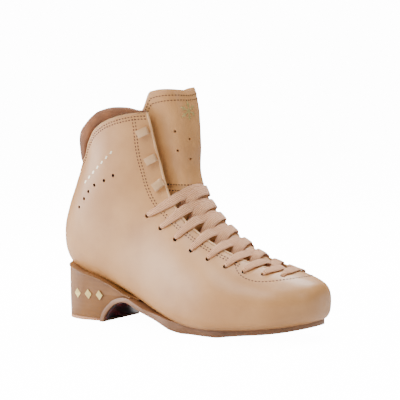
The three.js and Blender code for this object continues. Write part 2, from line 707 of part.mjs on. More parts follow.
// A strip bent over at the lacing edge, so that the lace is caught from behind.
function hookPlate(distance, s) {
  const { length, width, wall, throat } = hook;
  const bend = throat / 2 + wall / 2;
  const shape = new THREE.Shape();
  shape.moveTo(length / 2, 0);
  shape.lineTo(-length / 2, 0);
  shape.absarc(-length / 2, bend + wall / 2, bend + wall / 2, -Math.PI / 2, -3 * Math.PI / 2, true);
  shape.lineTo(length / 2 - 1, throat + 2 * wall);
  shape.lineTo(length / 2 - 1, throat + wall);
  shape.lineTo(-length / 2, throat + wall);
  shape.absarc(-length / 2, bend + wall / 2, bend - wall / 2, Math.PI / 2, 3 * Math.PI / 2, false);
  shape.lineTo(length / 2, wall);
  const geometry = new THREE.ExtrudeGeometry(shape, { depth: width, bevelEnabled: false, curveSegments: 3 });
  geometry.translate(0, gap + 0.2, -width / 2);
  const plate = solidFrom(geometry.applyMatrix4(placeOn(distance, s)));
  const bore = new THREE.CylinderGeometry(rivetBore, rivetBore, wall + 1.4, 8);
  bore.translate(0, wall / 2 + gap, 0);
  return geometryFrom(plate.subtract(solidFrom(bore.applyMatrix4(placeOn(distance, s)))));
}

// ---- Lace ----
const laceRadius = laceDiameter / 2;
const laceOver = gap + 0.5 + laceRadius;
const strandSteps = 12;
const topRow = eyelets.length - 1;

// ---- Lace ends, tucked into the boot: chosen points of the outer one, inner one mirrored ----
const tailRoute = [
  [102.2, -21.8, 99.2], [99.2, -21.0, 97], [96, -20.2, 93.6], [92.4, -19.4, 87], [89.8, -18.8, 78], [88.2, -18.5, 68], [88.6, -18.2, 58], [90.4, -17.8, 48.5],
  [94.5, -17.2, 40], [101, -16.6, 33.6], [110, -16, 28.6], [121, -15.6, 24.4], [132, -15.2, 21.2],
  [144, -15, 19.2], [156, -15, 18.2], [168, -15.4, 17.7], [180, -16.2, 17.8], [191, -17, 18.4],
  [201, -16.6, 19.4], [207.6, -13.2, 20.1], [209, -8.4, 20.2], [205.4, -5, 19.8], [199, -3.9, 19.1],
  [190, -3.7, 18.4], [180, -3.7, 17.8], [170, -3.7, 17.8],
];
const tailStep = 7;

function tailPath(sign) {
  const points = tailRoute.map(([x, y, z]) => new THREE.Vector3(x, -sign * y, z));
  return new THREE.CatmullRomCurve3(points, false, 'centripetal');
}

// Height of a strand over the last. Level 1 rides over level 0 where they cross.
function strandFace(distance, s, level, arriving) {
  const edge = lookup(openingEdge, s);
  const fade = smooth(Math.min(10, edge * 0.4), Math.min(18, edge * 0.85), Math.abs(distance));
  const cross = (laceDiameter + 0.5) * level * (1 - fade);
  const onTongue = tongueFace(distance, s) + 1.3 + laceRadius + cross;
  if (!arriving) return onTongue;
  const lift = smooth(edge - 16, edge - 7, Math.abs(distance));
  return Math.max(onTongue, THREE.MathUtils.lerp(onTongue, laceOver, lift));
}

// Out from under one facing, across the tongue and over the other facing.
function strand(from, to, sign, level) {
  const points = [];
  const [s0, d0] = from;
  const [s1, d1] = to;
  for (let i = 1; i < strandSteps; i++) {
    const f = i / strandSteps;
    const s = s0 + (s1 - s0) * f;
    const distance = sign * (d0 + (-d1 - d0) * f);
    points.push(laidPoint(distance, s, strandFace(distance, s, level, f > 0.5)));
  }
  return points;
}

// Down through an eyelet from outside.
const throughEyelet = ([s, d], sign) => [laceOver - 0.8, -1, -depth.liningIn + 1, -depth.lace + 0.5]
  .map((out) => laidPoint(sign * d, s, out));

function laceRun(sign) {
  const points = throughEyelet(eyelets[0], sign);
  let side = sign;
  const level = sign < 0 ? 0 : 1;
  for (let i = 0; i < topRow; i++) {
    points.push(...strand(eyelets[i], eyelets[i + 1], side, i % 2 ? 1 - level : level));
    side = -side;
    points.push(...throughEyelet(eyelets[i + 1], side));
  }
  const tail = tailPath(side);
  const end = tail.getPoint(0).addScaledVector(tail.getTangent(0), -gap);
  return { points, end };
}

function laceLine() {
  const outer = laceRun(-1);
  const inner = laceRun(1);
  const bar = [];
  const [s, d] = eyelets[0];
  for (let i = -5; i <= 5; i++) bar.push(laidPoint(d * 0.86 * i / 5, s, laceOver + 0.3));
  return [outer.end, ...outer.points.toReversed(), ...bar, ...inner.points, inner.end];
}

// A curve that an extrusion steps along point by point, so that tight bends keep their own steps.
class PointPath extends THREE.CatmullRomCurve3 {
  getPointAt(share) {
    return this.getPoint(share);
  }

  getTangentAt(share) {
    return this.getTangent(share);
  }
}

function sweep(path, diameter, steps, sidesCount) {
  const section = new THREE.Shape();
  for (let i = 0; i < sidesCount; i++) {
    const a = 2 * Math.PI * i / sidesCount;
    section[i ? 'lineTo' : 'moveTo'](diameter / 2 * Math.cos(a), diameter / 2 * Math.sin(a));
  }
  return new THREE.ExtrudeGeometry(section, { steps, extrudePath: path, bevelEnabled: false });
}

function laceTail(sign) {
  const path = tailPath(sign);
  return sweep(path, laceDiameter, Math.round(path.getLength() / tailStep), 8);
}

// The stiff tip carries straight on from the end of the tail.
function agletPin(sign) {
  const path = tailPath(sign);
  const [end, along] = [path.getPoint(1), path.getTangent(1)];
  const pin = new THREE.CylinderGeometry(aglet.diameter / 2, aglet.diameter / 2, aglet.length, 10);
  pin.translate(0, aglet.length / 2 + gap, 0);
  pin.applyQuaternion(new THREE.Quaternion().setFromUnitVectors(new THREE.Vector3(0, 1, 0), along));
  return pin.translate(end.x, end.y, end.z);
}

// ---- Finishes ----
const finish = (color, roughness, metalness = 0) => (
  new THREE.MeshStandardMaterial({ color, roughness, metalness }));
const tanLeather = finish(0xd6b89a, 0.42);
const heelLeather = finish(0xbe966e, 0.35);
const suede = finish(0xaa6e4b, 0.95);
const liningLeather = finish(0xb98f6c, 0.7);
const feltCloth = finish(0xe6dccb, 0.95);
const soleLeather = finish(0xd9a98c, 0.5);
const glossBlack = finish(0x1a0f10, 0.12);
const board = finish(0xc8b08a, 0.85);
const cork = finish(0xb08a5c, 0.95);
const steel = finish(0xb9bbbd, 0.35, 1);
const laceCloth = finish(0xebc8af, 0.85);
const brass = finish(0xd8b98a, 0.4, 0.8);
const rubber = finish(0xcf9f82, 0.7);

// ---- Assembly ----
const boot = new THREE.Group();

function add(name, shape, material) {
  const geometry = shape.isBufferGeometry ? shape : geometryFrom(shape);
  const mesh = new THREE.Mesh(geometry, material);
  mesh.name = name;
  boot.add(mesh);
}

add('upper', upper(), tanLeather);
add('lining', lining(), liningLeather);
add('collar_padding', collarPadding(), suede);
add('heel_counter', heelCounter(), board);
add('toe_puff', toePuff(), board);
add('throat_reinforcement', throatReinforcement(), board);
for (const { name, sign } of sides) add(`facing_reinforcement_${name}`, facingReinforcement(sign), board);
add('insole_board', insoleBoard(), board);
add('footbed', footbed(), suede);
add('cork_filler', corkFiller(), cork);
add('shank', shankBlock(0), steel);
add('outsole', outsole(), soleLeather);
add('breast_panel', breastPanel(), glossBlack);
add('heel_block', heelBlock(), heelLeather);
add('heel_top_piece', heelTopPiece(), rubber);
add('heel_screw', heelScrewSolid(), steel);
for (const part of ['lower', 'upper']) {
  add(`tongue_${part}`, tongueLeather(part), tanLeather);
  add(`tongue_felt_${part}`, tongueFelt(part), feltCloth);
}
for (const { name, sign } of sides) {
  eyelets.forEach(([s, d], i) => add(`eyelet_${name}_${i + 1}`, eyeletRing(sign * d, s), brass));
  hooks.forEach(([s, d], i) => {
    add(`hook_${name}_${i + 1}`, hookPlate(sign * d, s), brass);
    add(`hook_rivet_${name}_${i + 1}`, hookRivet(sign * d, s), brass);
  });
}
const lacePoints = laceLine();
const laceCurve = new PointPath(lacePoints, false, 'centripetal');
add('lace', sweep(laceCurve, laceDiameter, lacePoints.length - 1, 5), laceCloth);
for (const { name, sign } of sides) {
  add(`lace_end_${name}`, laceTail(sign), laceCloth);
  add(`aglet_${name}`, agletPin(sign), brass);
}

const box = new THREE.Box3().setFromObject(boot);
const middle = box.getCenter(new THREE.Vector3());
boot.position.set(-middle.x, -middle.y, -box.min.z);

export default boot;
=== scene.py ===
import bpy
import math
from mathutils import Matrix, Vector


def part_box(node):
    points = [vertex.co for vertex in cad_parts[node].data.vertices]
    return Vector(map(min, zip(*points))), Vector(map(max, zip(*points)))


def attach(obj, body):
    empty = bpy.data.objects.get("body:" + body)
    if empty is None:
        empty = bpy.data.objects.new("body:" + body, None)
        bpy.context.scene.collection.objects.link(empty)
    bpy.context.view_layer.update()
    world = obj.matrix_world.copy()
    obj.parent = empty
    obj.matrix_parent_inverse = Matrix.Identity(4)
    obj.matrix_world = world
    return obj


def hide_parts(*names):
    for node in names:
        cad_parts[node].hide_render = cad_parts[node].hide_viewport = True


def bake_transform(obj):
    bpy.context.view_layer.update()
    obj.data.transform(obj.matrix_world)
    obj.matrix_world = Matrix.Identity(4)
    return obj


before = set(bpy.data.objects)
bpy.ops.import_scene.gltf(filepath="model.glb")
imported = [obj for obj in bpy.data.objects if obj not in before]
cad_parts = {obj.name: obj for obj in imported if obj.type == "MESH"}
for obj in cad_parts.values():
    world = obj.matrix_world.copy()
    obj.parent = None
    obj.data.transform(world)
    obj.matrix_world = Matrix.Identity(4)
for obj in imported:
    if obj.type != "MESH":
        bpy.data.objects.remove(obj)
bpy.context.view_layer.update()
bpy.ops.object.select_all(action="DESELECT")
print("frame loaded:", len(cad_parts), "nodes")

# Design measures are in millimetres from the back of the heel on the boot's own middle line
heelLow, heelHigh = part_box("heel_top_piece")
heelInset = 2.0
origin = Vector((heelLow[0] - heelInset / 1000, (heelLow[1] + heelHigh[1]) / 2, 0))


def placed(point):
    return origin + Vector(point) / 1000


# Camera and light
studio = {
    "aim": (134.8, 11.4, 114.4),
    "azimuth": 34.0,
    "elevation": 4.7,
    "distance": 1.2,
    "lens": 118.8,
    "sky": (1.0, 1.0, 1.0, 1),
    "skyPower": 0.14,
    "skySeen": 14.0,
    "floorGlow": 14.0,
}


def backFrom(azimuth, elevation):
    a, e = math.radians(azimuth), math.radians(elevation)
    return Vector((math.sin(a) * math.cos(e), -math.cos(a) * math.cos(e), math.sin(e)))


def aimed(add, azimuth, elevation, distance, **settings):
    # A camera or lamp that looks at the middle of the boot
    back = backFrom(azimuth, elevation)
    add(location=placed(studio["aim"]) + back * distance, **settings)
    made = bpy.context.object
    made.rotation_mode = "QUATERNION"
    made.rotation_quaternion = (-back).to_track_quat("-Z", "Y")
    return made


def makeCamera():
    camera = aimed(bpy.ops.object.camera_add, studio["azimuth"], studio["elevation"], studio["distance"])
    camera.data.lens = studio["lens"]
    camera.data.sensor_width = 36
    bpy.context.scene.camera = camera


def softLight(name, azimuth, elevation, distance, size, power):
    lamp = aimed(bpy.ops.object.light_add, azimuth, elevation, distance, type="AREA")
    lamp.name = name
    lamp.data.size = size
    lamp.data.energy = power


makeCamera()
softLight("keyLight", -8, 42, 1.4, 0.6, 13)
softLight("sideLight", -58, 10, 1.3, 0.7, 24)
softLight("topLight", 40, 76, 1.2, 0.5, 7)
softLight("toeLight", 176, 58, 1.4, 0.7, 26)
softLight("frontLight", 80, 30, 1.6, 0.4, 4)
print("camera and lights set")


# One output socket, so that shader maths reads as sums
class Wire:
    def __init__(self, paint, socket):
        self.paint = paint
        self.socket = socket

    def maths(self, operation, first, second):
        return self.paint.node("ShaderNodeMath", {"operation": operation}, {0: first, 1: second})

    def __add__(self, other):
        return self.maths("ADD", self, other)

    def __radd__(self, other):
        return self.maths("ADD", other, self)

    def __sub__(self, other):
        return self.maths("SUBTRACT", self, other)

    def __rsub__(self, other):
        return self.maths("SUBTRACT", other, self)

    def __mul__(self, other):
        return self.maths("MULTIPLY", self, other)

    def __rmul__(self, other):
        return self.maths("MULTIPLY", other, self)

    def sine(self):
        return self.paint.node("ShaderNodeMath", {"operation": "SINE"}, {0: self})

    def clipped(self, low, high):
        settings = {"interpolation_type": "SMOOTHSTEP"}
        return self.paint.node("ShaderNodeMapRange", settings, {0: self, 1: low, 2: high, 3: 0.0, 4: 1.0})

    def axes(self):
        parts = self.paint.node("ShaderNodeSeparateXYZ", {}, {"Vector": self})
        return [Wire(self.paint, parts.socket.node.outputs[axis]) for axis in "XYZ"]


class Paint:
    def __init__(self, name, **sockets):
        self.material = bpy.data.materials.new(name)
        self.material.use_nodes = True
        self.tree = self.material.node_tree
        self.shader = self.tree.nodes["Principled BSDF"]
        for socket, value in sockets.items():
            self.give(socket.replace("_", " "), value)

    def node(self, kind, settings, inputs, output=0):
        made = self.tree.nodes.new(kind)
        for key, value in settings.items():
            setattr(made, key, value)
        for key, value in inputs.items():
            self.feed(made.inputs[key], value)
        return Wire(self, made.outputs[output])

    def feed(self, socket, value):
        if isinstance(value, Wire):
            self.tree.links.new(value.socket, socket)
        else:
            socket.default_value = value

    def give(self, socket, value):
        if isinstance(value, tuple) and len(value) == 3:
            value = (*value, 1)
        self.feed(self.shader.inputs[socket], value)

    def place(self):
        return self.node("ShaderNodeTexCoord", {}, {}, "Object")

    def strip(self):
        return self.node("ShaderNodeTexCoord", {}, {}, "UV")

    def noise(self, scale, detail):
        return self.node("ShaderNodeTexNoise", {}, {"Vector": self.place(), "Scale": scale, "Detail": detail})

    def cells(self, scale):
        settings = {"feature": "DISTANCE_TO_EDGE"}
        return self.node("ShaderNodeTexVoronoi", settings, {"Vector": self.place(), "Scale": scale})

    def blend(self, mask, low, high):
        settings = {"data_type": "RGBA"}
        low, high = [(*c, 1) if isinstance(c, tuple) and len(c) == 3 else c for c in (low, high)]
        return self.node("ShaderNodeMix", settings, {0: mask, 6: low, 7: high}, 2)

    def bump(self, height, distance):
        self.give("Normal", self.node("ShaderNodeBump", {}, {"Height": height, "Distance": distance}))


def linear(hexColour):
    parts = [int(hexColour[i:i + 2], 16) / 255 for i in (0, 2, 4)]
    return tuple(p / 12.92 if p <= 0.04045 else ((p + 0.055) / 1.055) ** 2.4 for p in parts)


def leatherPaint(name, light, deep, roughness, grain=1100.0, coat=0.0, depth=0.00006):
    paint = Paint(name)
    paint.shader.inputs["Coat Roughness"].default_value = 0.3
    paint.shader.inputs["Coat Weight"].default_value = coat
    clouds = paint.noise(22.0, 4.0)
    pores = paint.cells(grain)
    fine = paint.noise(grain * 0.6, 2.0)
    shade = clouds.clipped(0.35, 0.7) * 0.55 + fine * 0.12
    paint.give("Base Color", paint.blend(shade, light, deep))
    paint.give("Roughness", roughness + clouds * 0.1 + fine * 0.05)
    paint.bump(pores.clipped(0.0, 0.22) * 0.7 + fine * 0.5, depth)
    return paint.material


def suedePaint(name, light, deep):
    paint = Paint(name, Roughness=0.95)
    paint.shader.inputs["Sheen Weight"].default_value = 0.15
    paint.shader.inputs["Sheen Roughness"].default_value = 0.5
    brushed = paint.noise(60.0, 5.0)
    nap = paint.noise(1500.0, 3.0)
    paint.give("Base Color", paint.blend(brushed.clipped(0.3, 0.7) * 0.6 + nap * 0.4, deep, light))
    paint.bump(nap + brushed * 0.6, 0.00025)
    return paint.material


def clothPaint(name, light, deep, threads):
    # The weave follows the strip's own length and width, in millimetres
    paint = Paint(name, Roughness=0.85)
    paint.shader.inputs["Sheen Weight"].default_value = 0.25
    across, length, _ = paint.strip().axes()
    ribs = ((across + length) * threads).sine()
    cross = ((across - length) * threads).sine()
    weave = ((ribs * cross) * 0.5 + 0.5).clipped(0.2, 0.8)
    fuzz = paint.noise(900.0, 2.0)
    paint.give("Base Color", paint.blend(weave * 0.75 + fuzz * 0.3, deep, light))
    paint.bump(weave + fuzz * 0.4, 0.0005)
    return paint.material


def plainPaint(name, light, deep, roughness, metallic=0.0, scale=300.0, coat=0.0, depth=0.00003):
    paint = Paint(name)
    paint.shader.inputs["Metallic"].default_value = metallic
    paint.shader.inputs["Coat Weight"].default_value = coat
    grain = paint.noise(scale, 4.0)
    clouds = paint.noise(scale * 0.12, 3.0)
    paint.give("Base Color", paint.blend(grain * 0.5 + clouds * 0.5, light, deep))
    paint.give("Roughness", roughness + grain * 0.08)
    paint.bump(grain, depth)
    return paint.material


def heelPaint():
    # Polished leather over the stacked lifts, with the faint lines of the lifts
    paint = Paint("heelLeather")
    paint.shader.inputs["Coat Weight"].default_value = 0.25
    paint.shader.inputs["Coat Roughness"].default_value = 0.2
    height = paint.place().axes()[2]
    wobble = paint.noise(40.0, 2.0) * 0.0006
    lifts = ((height + wobble) * 1500.0).sine()
    clouds = paint.noise(30.0, 4.0)
    mask = clouds.clipped(0.3, 0.75) * 0.7 + lifts * 0.05
    paint.give("Base Color", paint.blend(mask, linear("915f2c"), linear("6b411a")))
    paint.give("Roughness", 0.36 + clouds * 0.12)
    paint.bump(paint.noise(700.0, 3.0) + lifts * 0.3, 0.00004)
    return paint.material


def breastPaint():
    # Black lacquer with dark red plaid bands
    paint = Paint("breastLacquer")
    paint.shader.inputs["Coat Weight"].default_value = 0.8
    paint.shader.inputs["Coat Roughness"].default_value = 0.06
    x, y, z = paint.place().axes()
    spread = 420.0
    first = ((x + z + y * 0.5) * spread).sine()
    second = ((y - x * 0.4 - z * 0.4) * spread).sine()
    bands = first.clipped(0.2, 0.5) * 0.6 + second.clipped(0.2, 0.5) * 0.4
    paint.give("Base Color", paint.blend(bands, linear("14090b"), linear("6d0f1c")))
    paint.give("Roughness", 0.18 + paint.noise(500.0, 2.0) * 0.05)
    paint.bump(paint.noise(300.0, 2.0), 0.00002)
    return paint.material


def floorPaint():
    # Pale all over: only the camera sees its glow, so it sheds no light on the boot
    paint = Paint("paleFloor", Roughness=0.7)
    seen = paint.node("ShaderNodeLightPath", {}, {}, "Is Camera Ray")
    paint.give("Base Color", (0.8, 0.8, 0.8))
    paint.shader.inputs["Emission Strength"].default_value = studio["floorGlow"]
    paint.give("Emission Color", paint.blend(seen, (0.0, 0.0, 0.0), (1.0, 1.0, 1.0)))
    return paint.material


finishes = {
    "leather": leatherPaint("satinLeather", linear("ca935a"), linear("ab733d"), 0.36, coat=0.35),
    "rolledEdge": leatherPaint("rolledEdgeLeather", linear("e0b483"), linear("cb9863"), 0.42),
    "lining": leatherPaint("liningLeather", linear("a9713f"), linear("7f4d26"), 0.62, grain=1600.0),
    "suede": suedePaint("collarSuede", linear("8a5229"), linear("573216")),
    "footbed": suedePaint("footbedSuede", linear("955c33"), linear("6a3c1e")),
    "felt": suedePaint("tongueFelt", linear("e8dfd0"), linear("cfc2ae")),
    "lace": clothPaint("laceWeave", linear("ffc596"), linear("b67647"), 2.7),
    # Real threads, coloured dark brown as painted shade of the sunk stitch holes
    "stitch": plainPaint("stitchThreadShade", linear("5a3419"), linear("351c0c"), 0.75, scale=1500.0),
    "sole": leatherPaint("soleLeather", linear("8f6240"), linear("684529"), 0.45, grain=900.0, coat=0.1),
    # Dark brown walls of the punched holes: painted shade inside the holes
    "paintedHoleShade": plainPaint("paintedHoleShade", linear("5a3a28"), linear("3f2719"), 0.7),
    "heel": heelPaint(),
    "topPiece": plainPaint("topPieceRubber", linear("d69f78"), linear("b87f58"), 0.6, scale=500.0),
    "breast": breastPaint(),
    "fibre": plainPaint("pressedFibre", linear("c9b28c"), linear("a98f68"), 0.85, scale=700.0, depth=0.0001),
    "cork": plainPaint("corkGrain", linear("b98f5e"), linear("7d5a35"), 0.9, scale=350.0, depth=0.0003),
    "steel": plainPaint("brushedSteel", linear("c4c6c8"), linear("9a9c9f"), 0.32, metallic=1.0, scale=800.0),
    "fitting": plainPaint("beigeFitting", linear("d9b083"), linear("c09264"), 0.3, metallic=0.15, scale=600.0,
                          coat=0.4),
    "bright": plainPaint("brightMetal", linear("d8d2c6"), linear("b8b0a2"), 0.25, metallic=0.9, scale=600.0),
    "gold": plainPaint("goldFoil", linear("f3dfa0"), linear("cfae5f"), 0.3, metallic=0.65, scale=900.0),
    "paleFoil": plainPaint("paleFoil", linear("f4ead0"), linear("e6d6b4"), 0.35, metallic=0.3, scale=900.0),
    "floor": floorPaint(),
}
print("finishes mixed:", len(finishes))

# The last: top x, z; bottom x, z; outer and inner half-width; shift; widest level; squareness
last = [
    (267, 33, 267, 31, 0.5, 0.5, 8, 0.45, 2.2, 2.4),
    (266.4, 42, 265.6, 21, 15, 11, 8, 0.45, 2.3, 2.8),
    (263.2, 48.5, 261.5, 16.5, 25, 18, 7.5, 0.42, 2.3, 3.2),
    (254.8, 53, 253, 14.2, 34, 25, 6.5, 0.40, 2.3, 4.6),
    (242, 57.5, 241, 12.0, 40, 32, 4.5, 0.38, 2.2, 5.6),
    (225, 62.5, 224, 9.6, 44, 38, 3, 0.36, 2.1, 6.2),
    (204, 70, 200, 7.0, 47, 43, 1, 0.35, 2.0, 6.6),
    (184, 81, 172, 5.2, 48, 44, 0, 0.34, 2.0, 6.4),
    (166, 94.5, 142, 7.4, 45, 42, 0, 0.33, 2.0, 5.6),
    (151, 110, 112, 15.6, 40, 37, 0, 0.34, 2.1, 4.6),
    (143, 123, 82, 25.5, 36, 34, 0, 0.37, 2.2, 3.4),
    (139.5, 134, 50, 34, 34, 33, 0, 0.41, 2.2, 3.0),
    (137.5, 144, 18, 39, 34, 33, 0, 0.45, 2.2, 2.5),
    (136.2, 153, -3, 56, 34.5, 34, 0, 0.47, 2.2, 2.2),
    (135.2, 162, -7.5, 79, 35.5, 35, 0, 0.48, 2.2, 2.1),
    (134.2, 172, -1.5, 101, 36.5, 36, 0, 0.48, 2.2, 2.1),
    (133, 184, 8.5, 124, 37.5, 37.5, 0, 0.48, 2.2, 2.1),
    (131, 198, 17.5, 147, 39, 39, 0, 0.48, 2.2, 2.1),
    (127, 214, 16, 170, 41, 41, 0, 0.48, 2.2, 2.1),
    (122, 236, 9, 194, 42, 42, 0, 0.48, 2.2, 2.1),
]
lastStation = len(last) - 1
rowStore = {}
arcStore = {}


def lastRow(s):
    key = round(s, 4)
    if key not in rowStore:
        i = min(max(int(math.floor(s)), 0), lastStation - 1)
        f = min(max(s - i, 0), 1)
        a = last[i - 1] if i > 0 else [2 * p - q for p, q in zip(last[0], last[1])]
        b, c = last[i], last[i + 1]
        d = last[i + 2] if i + 2 <= lastStation else [2 * p - q for p, q in zip(last[-1], last[-2])]
        rowStore[key] = [
            q + 0.5 * f * (r - p + f * (2 * p - 5 * q + 4 * r - t + f * (3 * q - 3 * r + t - p)))
            for p, q, r, t in zip(a, b, c, d)
        ]
    return rowStore[key]


def facePoint(u, s):
    row = lastRow(s)
    c, sine = math.cos(u), math.sin(u)
    power = row[8] if c > 0 else row[9]
    r = (abs(c) ** power + abs(sine) ** power) ** (-1 / power)
    midX, midZ = row[2] + (row[0] - row[2]) * row[7], row[3] + (row[1] - row[3]) * row[7]
    endX, endZ = (row[0], row[1]) if c > 0 else (row[2], row[3])
    reach = abs(c) * r
    half = row[4] if sine < 0 else row[5]
    return Vector((midX + (endX - midX) * reach, row[6] + half * sine * r, midZ + (endZ - midZ) * reach))


def faceNormal(u, s):
    e = 1e-3
    at = max(s, 0.02)
    across = facePoint(u + e, at) - facePoint(u - e, at)
    along = facePoint(u, min(at + e, lastStation)) - facePoint(u, at - e)
    return across.cross(along).normalized()


def offPoint(u, s, out):
    return facePoint(u, s) + faceNormal(u, s) * out


def angleAt(distance, s):
    key = (distance >= 0, round(s, 2))
    if key not in arcStore:
        side = 1 if distance >= 0 else -1
        sums, before = [0.0], facePoint(0, key[1])
        for i in range(1, 73):
            here = facePoint(side * math.pi * i / 72, key[1])
            sums.append(sums[-1] + (here - before).length)
            before = here
        arcStore[key] = sums
    sums = arcStore[key]
    wanted = abs(distance)
    i = 1
    while i < 72 and sums[i] < wanted:
        i += 1
    angle = math.pi * (i - 1 + (wanted - sums[i - 1]) / (sums[i] - sums[i - 1])) / 72
    return angle if distance >= 0 else -angle


def laidPoint(distance, s, out):
    return offPoint(angleAt(distance, s), s, out)


def lookup(table, s):
    if s >= table[0][0]:
        return table[0][1]
    for (s1, v1), (s0, v0) in zip(table, table[1:]):
        if s >= s0:
            return v0 + (v1 - v0) * (s - s0) / (s1 - s0)
    return table[-1][1]


def smooth(low, high, x):
    t = min(max((x - low) / ((high - low) or 1e-9), 0), 1)
    return t * t * (3 - 2 * t)


def spline(points, t):
    # Smooth curve through a list of points of any size, t from 0 to 1
    at = min(max(t, 0), 1) * (len(points) - 1)
    i = min(int(at), len(points) - 2)
    f = at - i
    a, b, c, d = [points[min(max(k, 0), len(points) - 1)] for k in (i - 1, i, i + 1, i + 2)]
    return [q + 0.5 * f * (r - p + f * (2 * p - 5 * q + 4 * r - w + f * (3 * q - 3 * r + w - p)))
            for p, q, r, w in zip(a, b, c, d)]


# Distances along the leather from the lacing line, by station
lines = {
    "opening": [(19, 44), (17.2, 43), (16, 40.5), (13.7, 35.5), (11, 33.5), (9, 30), (7.4, 25), (5.8, 19),
                (4.6, 12), (4.1, 6), (3.9, 0)],
    "tongue": [(19, 53), (17, 52), (13, 46), (11, 45), (9, 43), (6, 33), (4.3, 24), (3.3, 16)],
    "eyelets": [(4.28, 19), (5.08, 26.5), (5.8, 32.2), (6.55, 36.7), (7.34, 40), (8.17, 44), (9.05, 48),
                (10.08, 54), (11.2, 61)],
    "hooks": [(12.3, 41.5), (14.45, 45), (16.45, 50.5)],
    "vents": [(14.83, 86.6), (14.87, 98.3), (14.96, 111.2), (14.83, 120.5), (14.6, 128), (14.33, 137)],
    "tongueVents": [(12.98, 7), (14.17, 18), (14.87, 7.2), (15.71, 19.5)],
}
collarLine = [(-10, 139), (10, 142), (22, 146), (34.7, 154), (40.7, 165), (51, 177), (64, 185), (78, 190),
              (95, 193.5), (110, 194.5), (140, 195)]
rollLine = [(-10, 154), (8, 161), (17, 170), (28, 177.5), (38.5, 183), (47, 188.5), (57, 194), (73, 197.8),
            (90, 198), (101, 195.6), (140, 195)]
padLine = [(-20, 106), (10, 110), (40, 128), (70, 148), (100, 160), (140, 165)]


def lineHeight(line, x):
    if x <= line[0][0]:
        return line[0][1]
    for i, ((x0, z0), (x1, z1)) in enumerate(zip(line, line[1:])):
        if x <= x1:
            return spline(line, (i + (x - x0) / (x1 - x0)) / (len(line) - 1))[1]
    return line[-1][1]


def stationOf(place, line):
    # Where a column of the last crosses a line drawn on the boot's side
    low, high = 8.0, lastStation
    for _ in range(22):
        middle = (low + high) / 2
        point = place(middle)
        if point.z < lineHeight(line, point.x):
            low = middle
        else:
            high = middle
    return (low + high) / 2


def meshPiece(name, points, faces, material, uvs=None, sharp=None):
    data = bpy.data.meshes.new(name)
    data.from_pydata([placed(p) for p in points], [], faces)
    if uvs:
        layer = data.uv_layers.new(name="strip")
        for loop in data.loops:
            layer.data[loop.index].uv = uvs[loop.vertex_index]
    piece = bpy.data.objects.new(name, data)
    bpy.context.collection.objects.link(piece)
    piece.data.materials.append(material)
    choose(piece)
    bpy.ops.object.mode_set(mode="EDIT")
    bpy.ops.mesh.select_all(action="SELECT")
    bpy.ops.mesh.remove_doubles(threshold=0.000004)
    bpy.ops.mesh.normals_make_consistent(inside=False)
    bpy.ops.object.mode_set(mode="OBJECT")
    if sharp:
        bpy.ops.object.shade_smooth_by_angle(angle=math.radians(sharp))
    else:
        bpy.ops.object.shade_smooth()
    return piece


def settle(piece, slot, *nodes, body="boot"):
    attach(piece, body)
    if nodes:
        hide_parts(*nodes)


def choose(piece):
    bpy.ops.object.select_all(action="DESELECT")
    piece.select_set(True)
    bpy.context.view_layer.objects.active = piece


def carve(piece, cutter):
    cut = piece.modifiers.new("holes", "BOOLEAN")
    cut.operation = "DIFFERENCE"
    cut.solver = "MANIFOLD"
    cut.object = cutter
    choose(piece)
    bpy.ops.object.modifier_apply(modifier=cut.name)
    bpy.data.objects.remove(cutter)


def gridFaces(rows, columns, start=0, closed=False):
    faces = []
    for i in range(rows - 1):
        for j in range(columns - (0 if closed else 1)):
            k = (j + 1) % columns
            a, b = start + i * columns + j, start + i * columns + k
            faces.append((a, b, b + columns, a + columns))
    return faces


def ringSkin(rings, capped=True):
    # Closed skin over rings of points, each end closed on its own middle
    n = len(rings[0])
    points = [p for ring in rings for p in ring]
    faces = gridFaces(len(rings), n, closed=True)
    if capped:
        for first in (0, (len(rings) - 1) * n):
            hub = len(points)
            points.append(sum((points[first + j] for j in range(n)), Vector()) / n)
            faces += [(first + j, first + (j + 1) % n, hub) for j in range(n)]
    return points, faces


def openingAngle(s):
    edge = lookup(lines["opening"], s)
    return angleAt(edge, s) if edge > 0 else 0.0


def wallAngle(v, s):
    # Angle of a share v of the way round from the outer lacing edge to the inner one
    opening = openingAngle(s)
    return opening + v * (2 * math.pi - 2 * opening)


def wallPoint(v, s):
    return facePoint(wallAngle(v, s), s)


def bootShell(name, outerDepth, innerDepth, topLine, firstStation, material, columns=150, rows=150):
    # A wall round the last from one lacing edge under the sole to the other
    throat = lines["opening"][-1][0]
    tops = [stationOf(lambda s: wallPoint(j / columns, s), topLine) for j in range(columns + 1)]
    share = (throat - firstStation) / (tops[0] - firstStation)
    toeRows = max(int(rows * share), 6)
    steps = [share * (i / toeRows) ** 1.15 for i in range(toeRows)]
    steps += [share + (1 - share) * i / (rows - toeRows) for i in range(rows - toeRows + 1)]
    points, faces = [], []
    for depth in (outerDepth, innerDepth):
        for step in steps:
            for j in range(columns + 1):
                s = firstStation + step * (tops[j] - firstStation)
                edgeStation = firstStation + step * (tops[0] - firstStation)
                u = wallAngle(j / columns, s) if edgeStation > throat + 1e-6 else 2 * math.pi * j / columns
                points.append(offPoint(u, s, -depth))
    across = columns + 1
    layer = len(steps) * across
    faces += gridFaces(len(steps), across)
    faces += [tuple(reversed(f)) for f in gridFaces(len(steps), across, start=layer)]
    last0 = (len(steps) - 1) * across
    faces += [(last0 + j, last0 + j + 1, layer + last0 + j + 1, layer + last0 + j) for j in range(columns)]
    for i in range(toeRows, len(steps) - 1):
        for j in (0, columns):
            a, b = i * across + j, (i + 1) * across + j
            faces.append((a, b, layer + b, layer + a))
    if firstStation < 0.1:
        for base in (0, layer):
            hub = len(points)
            points.append(sum((points[base + j] for j in range(columns)), Vector()) / columns)
            faces += [(base + j, base + j + 1, hub) for j in range(columns)]
    else:
        faces += [(j, j + 1, layer + j + 1, layer + j) for j in range(columns)]
    return meshPiece(name, points, faces, material, sharp=50)


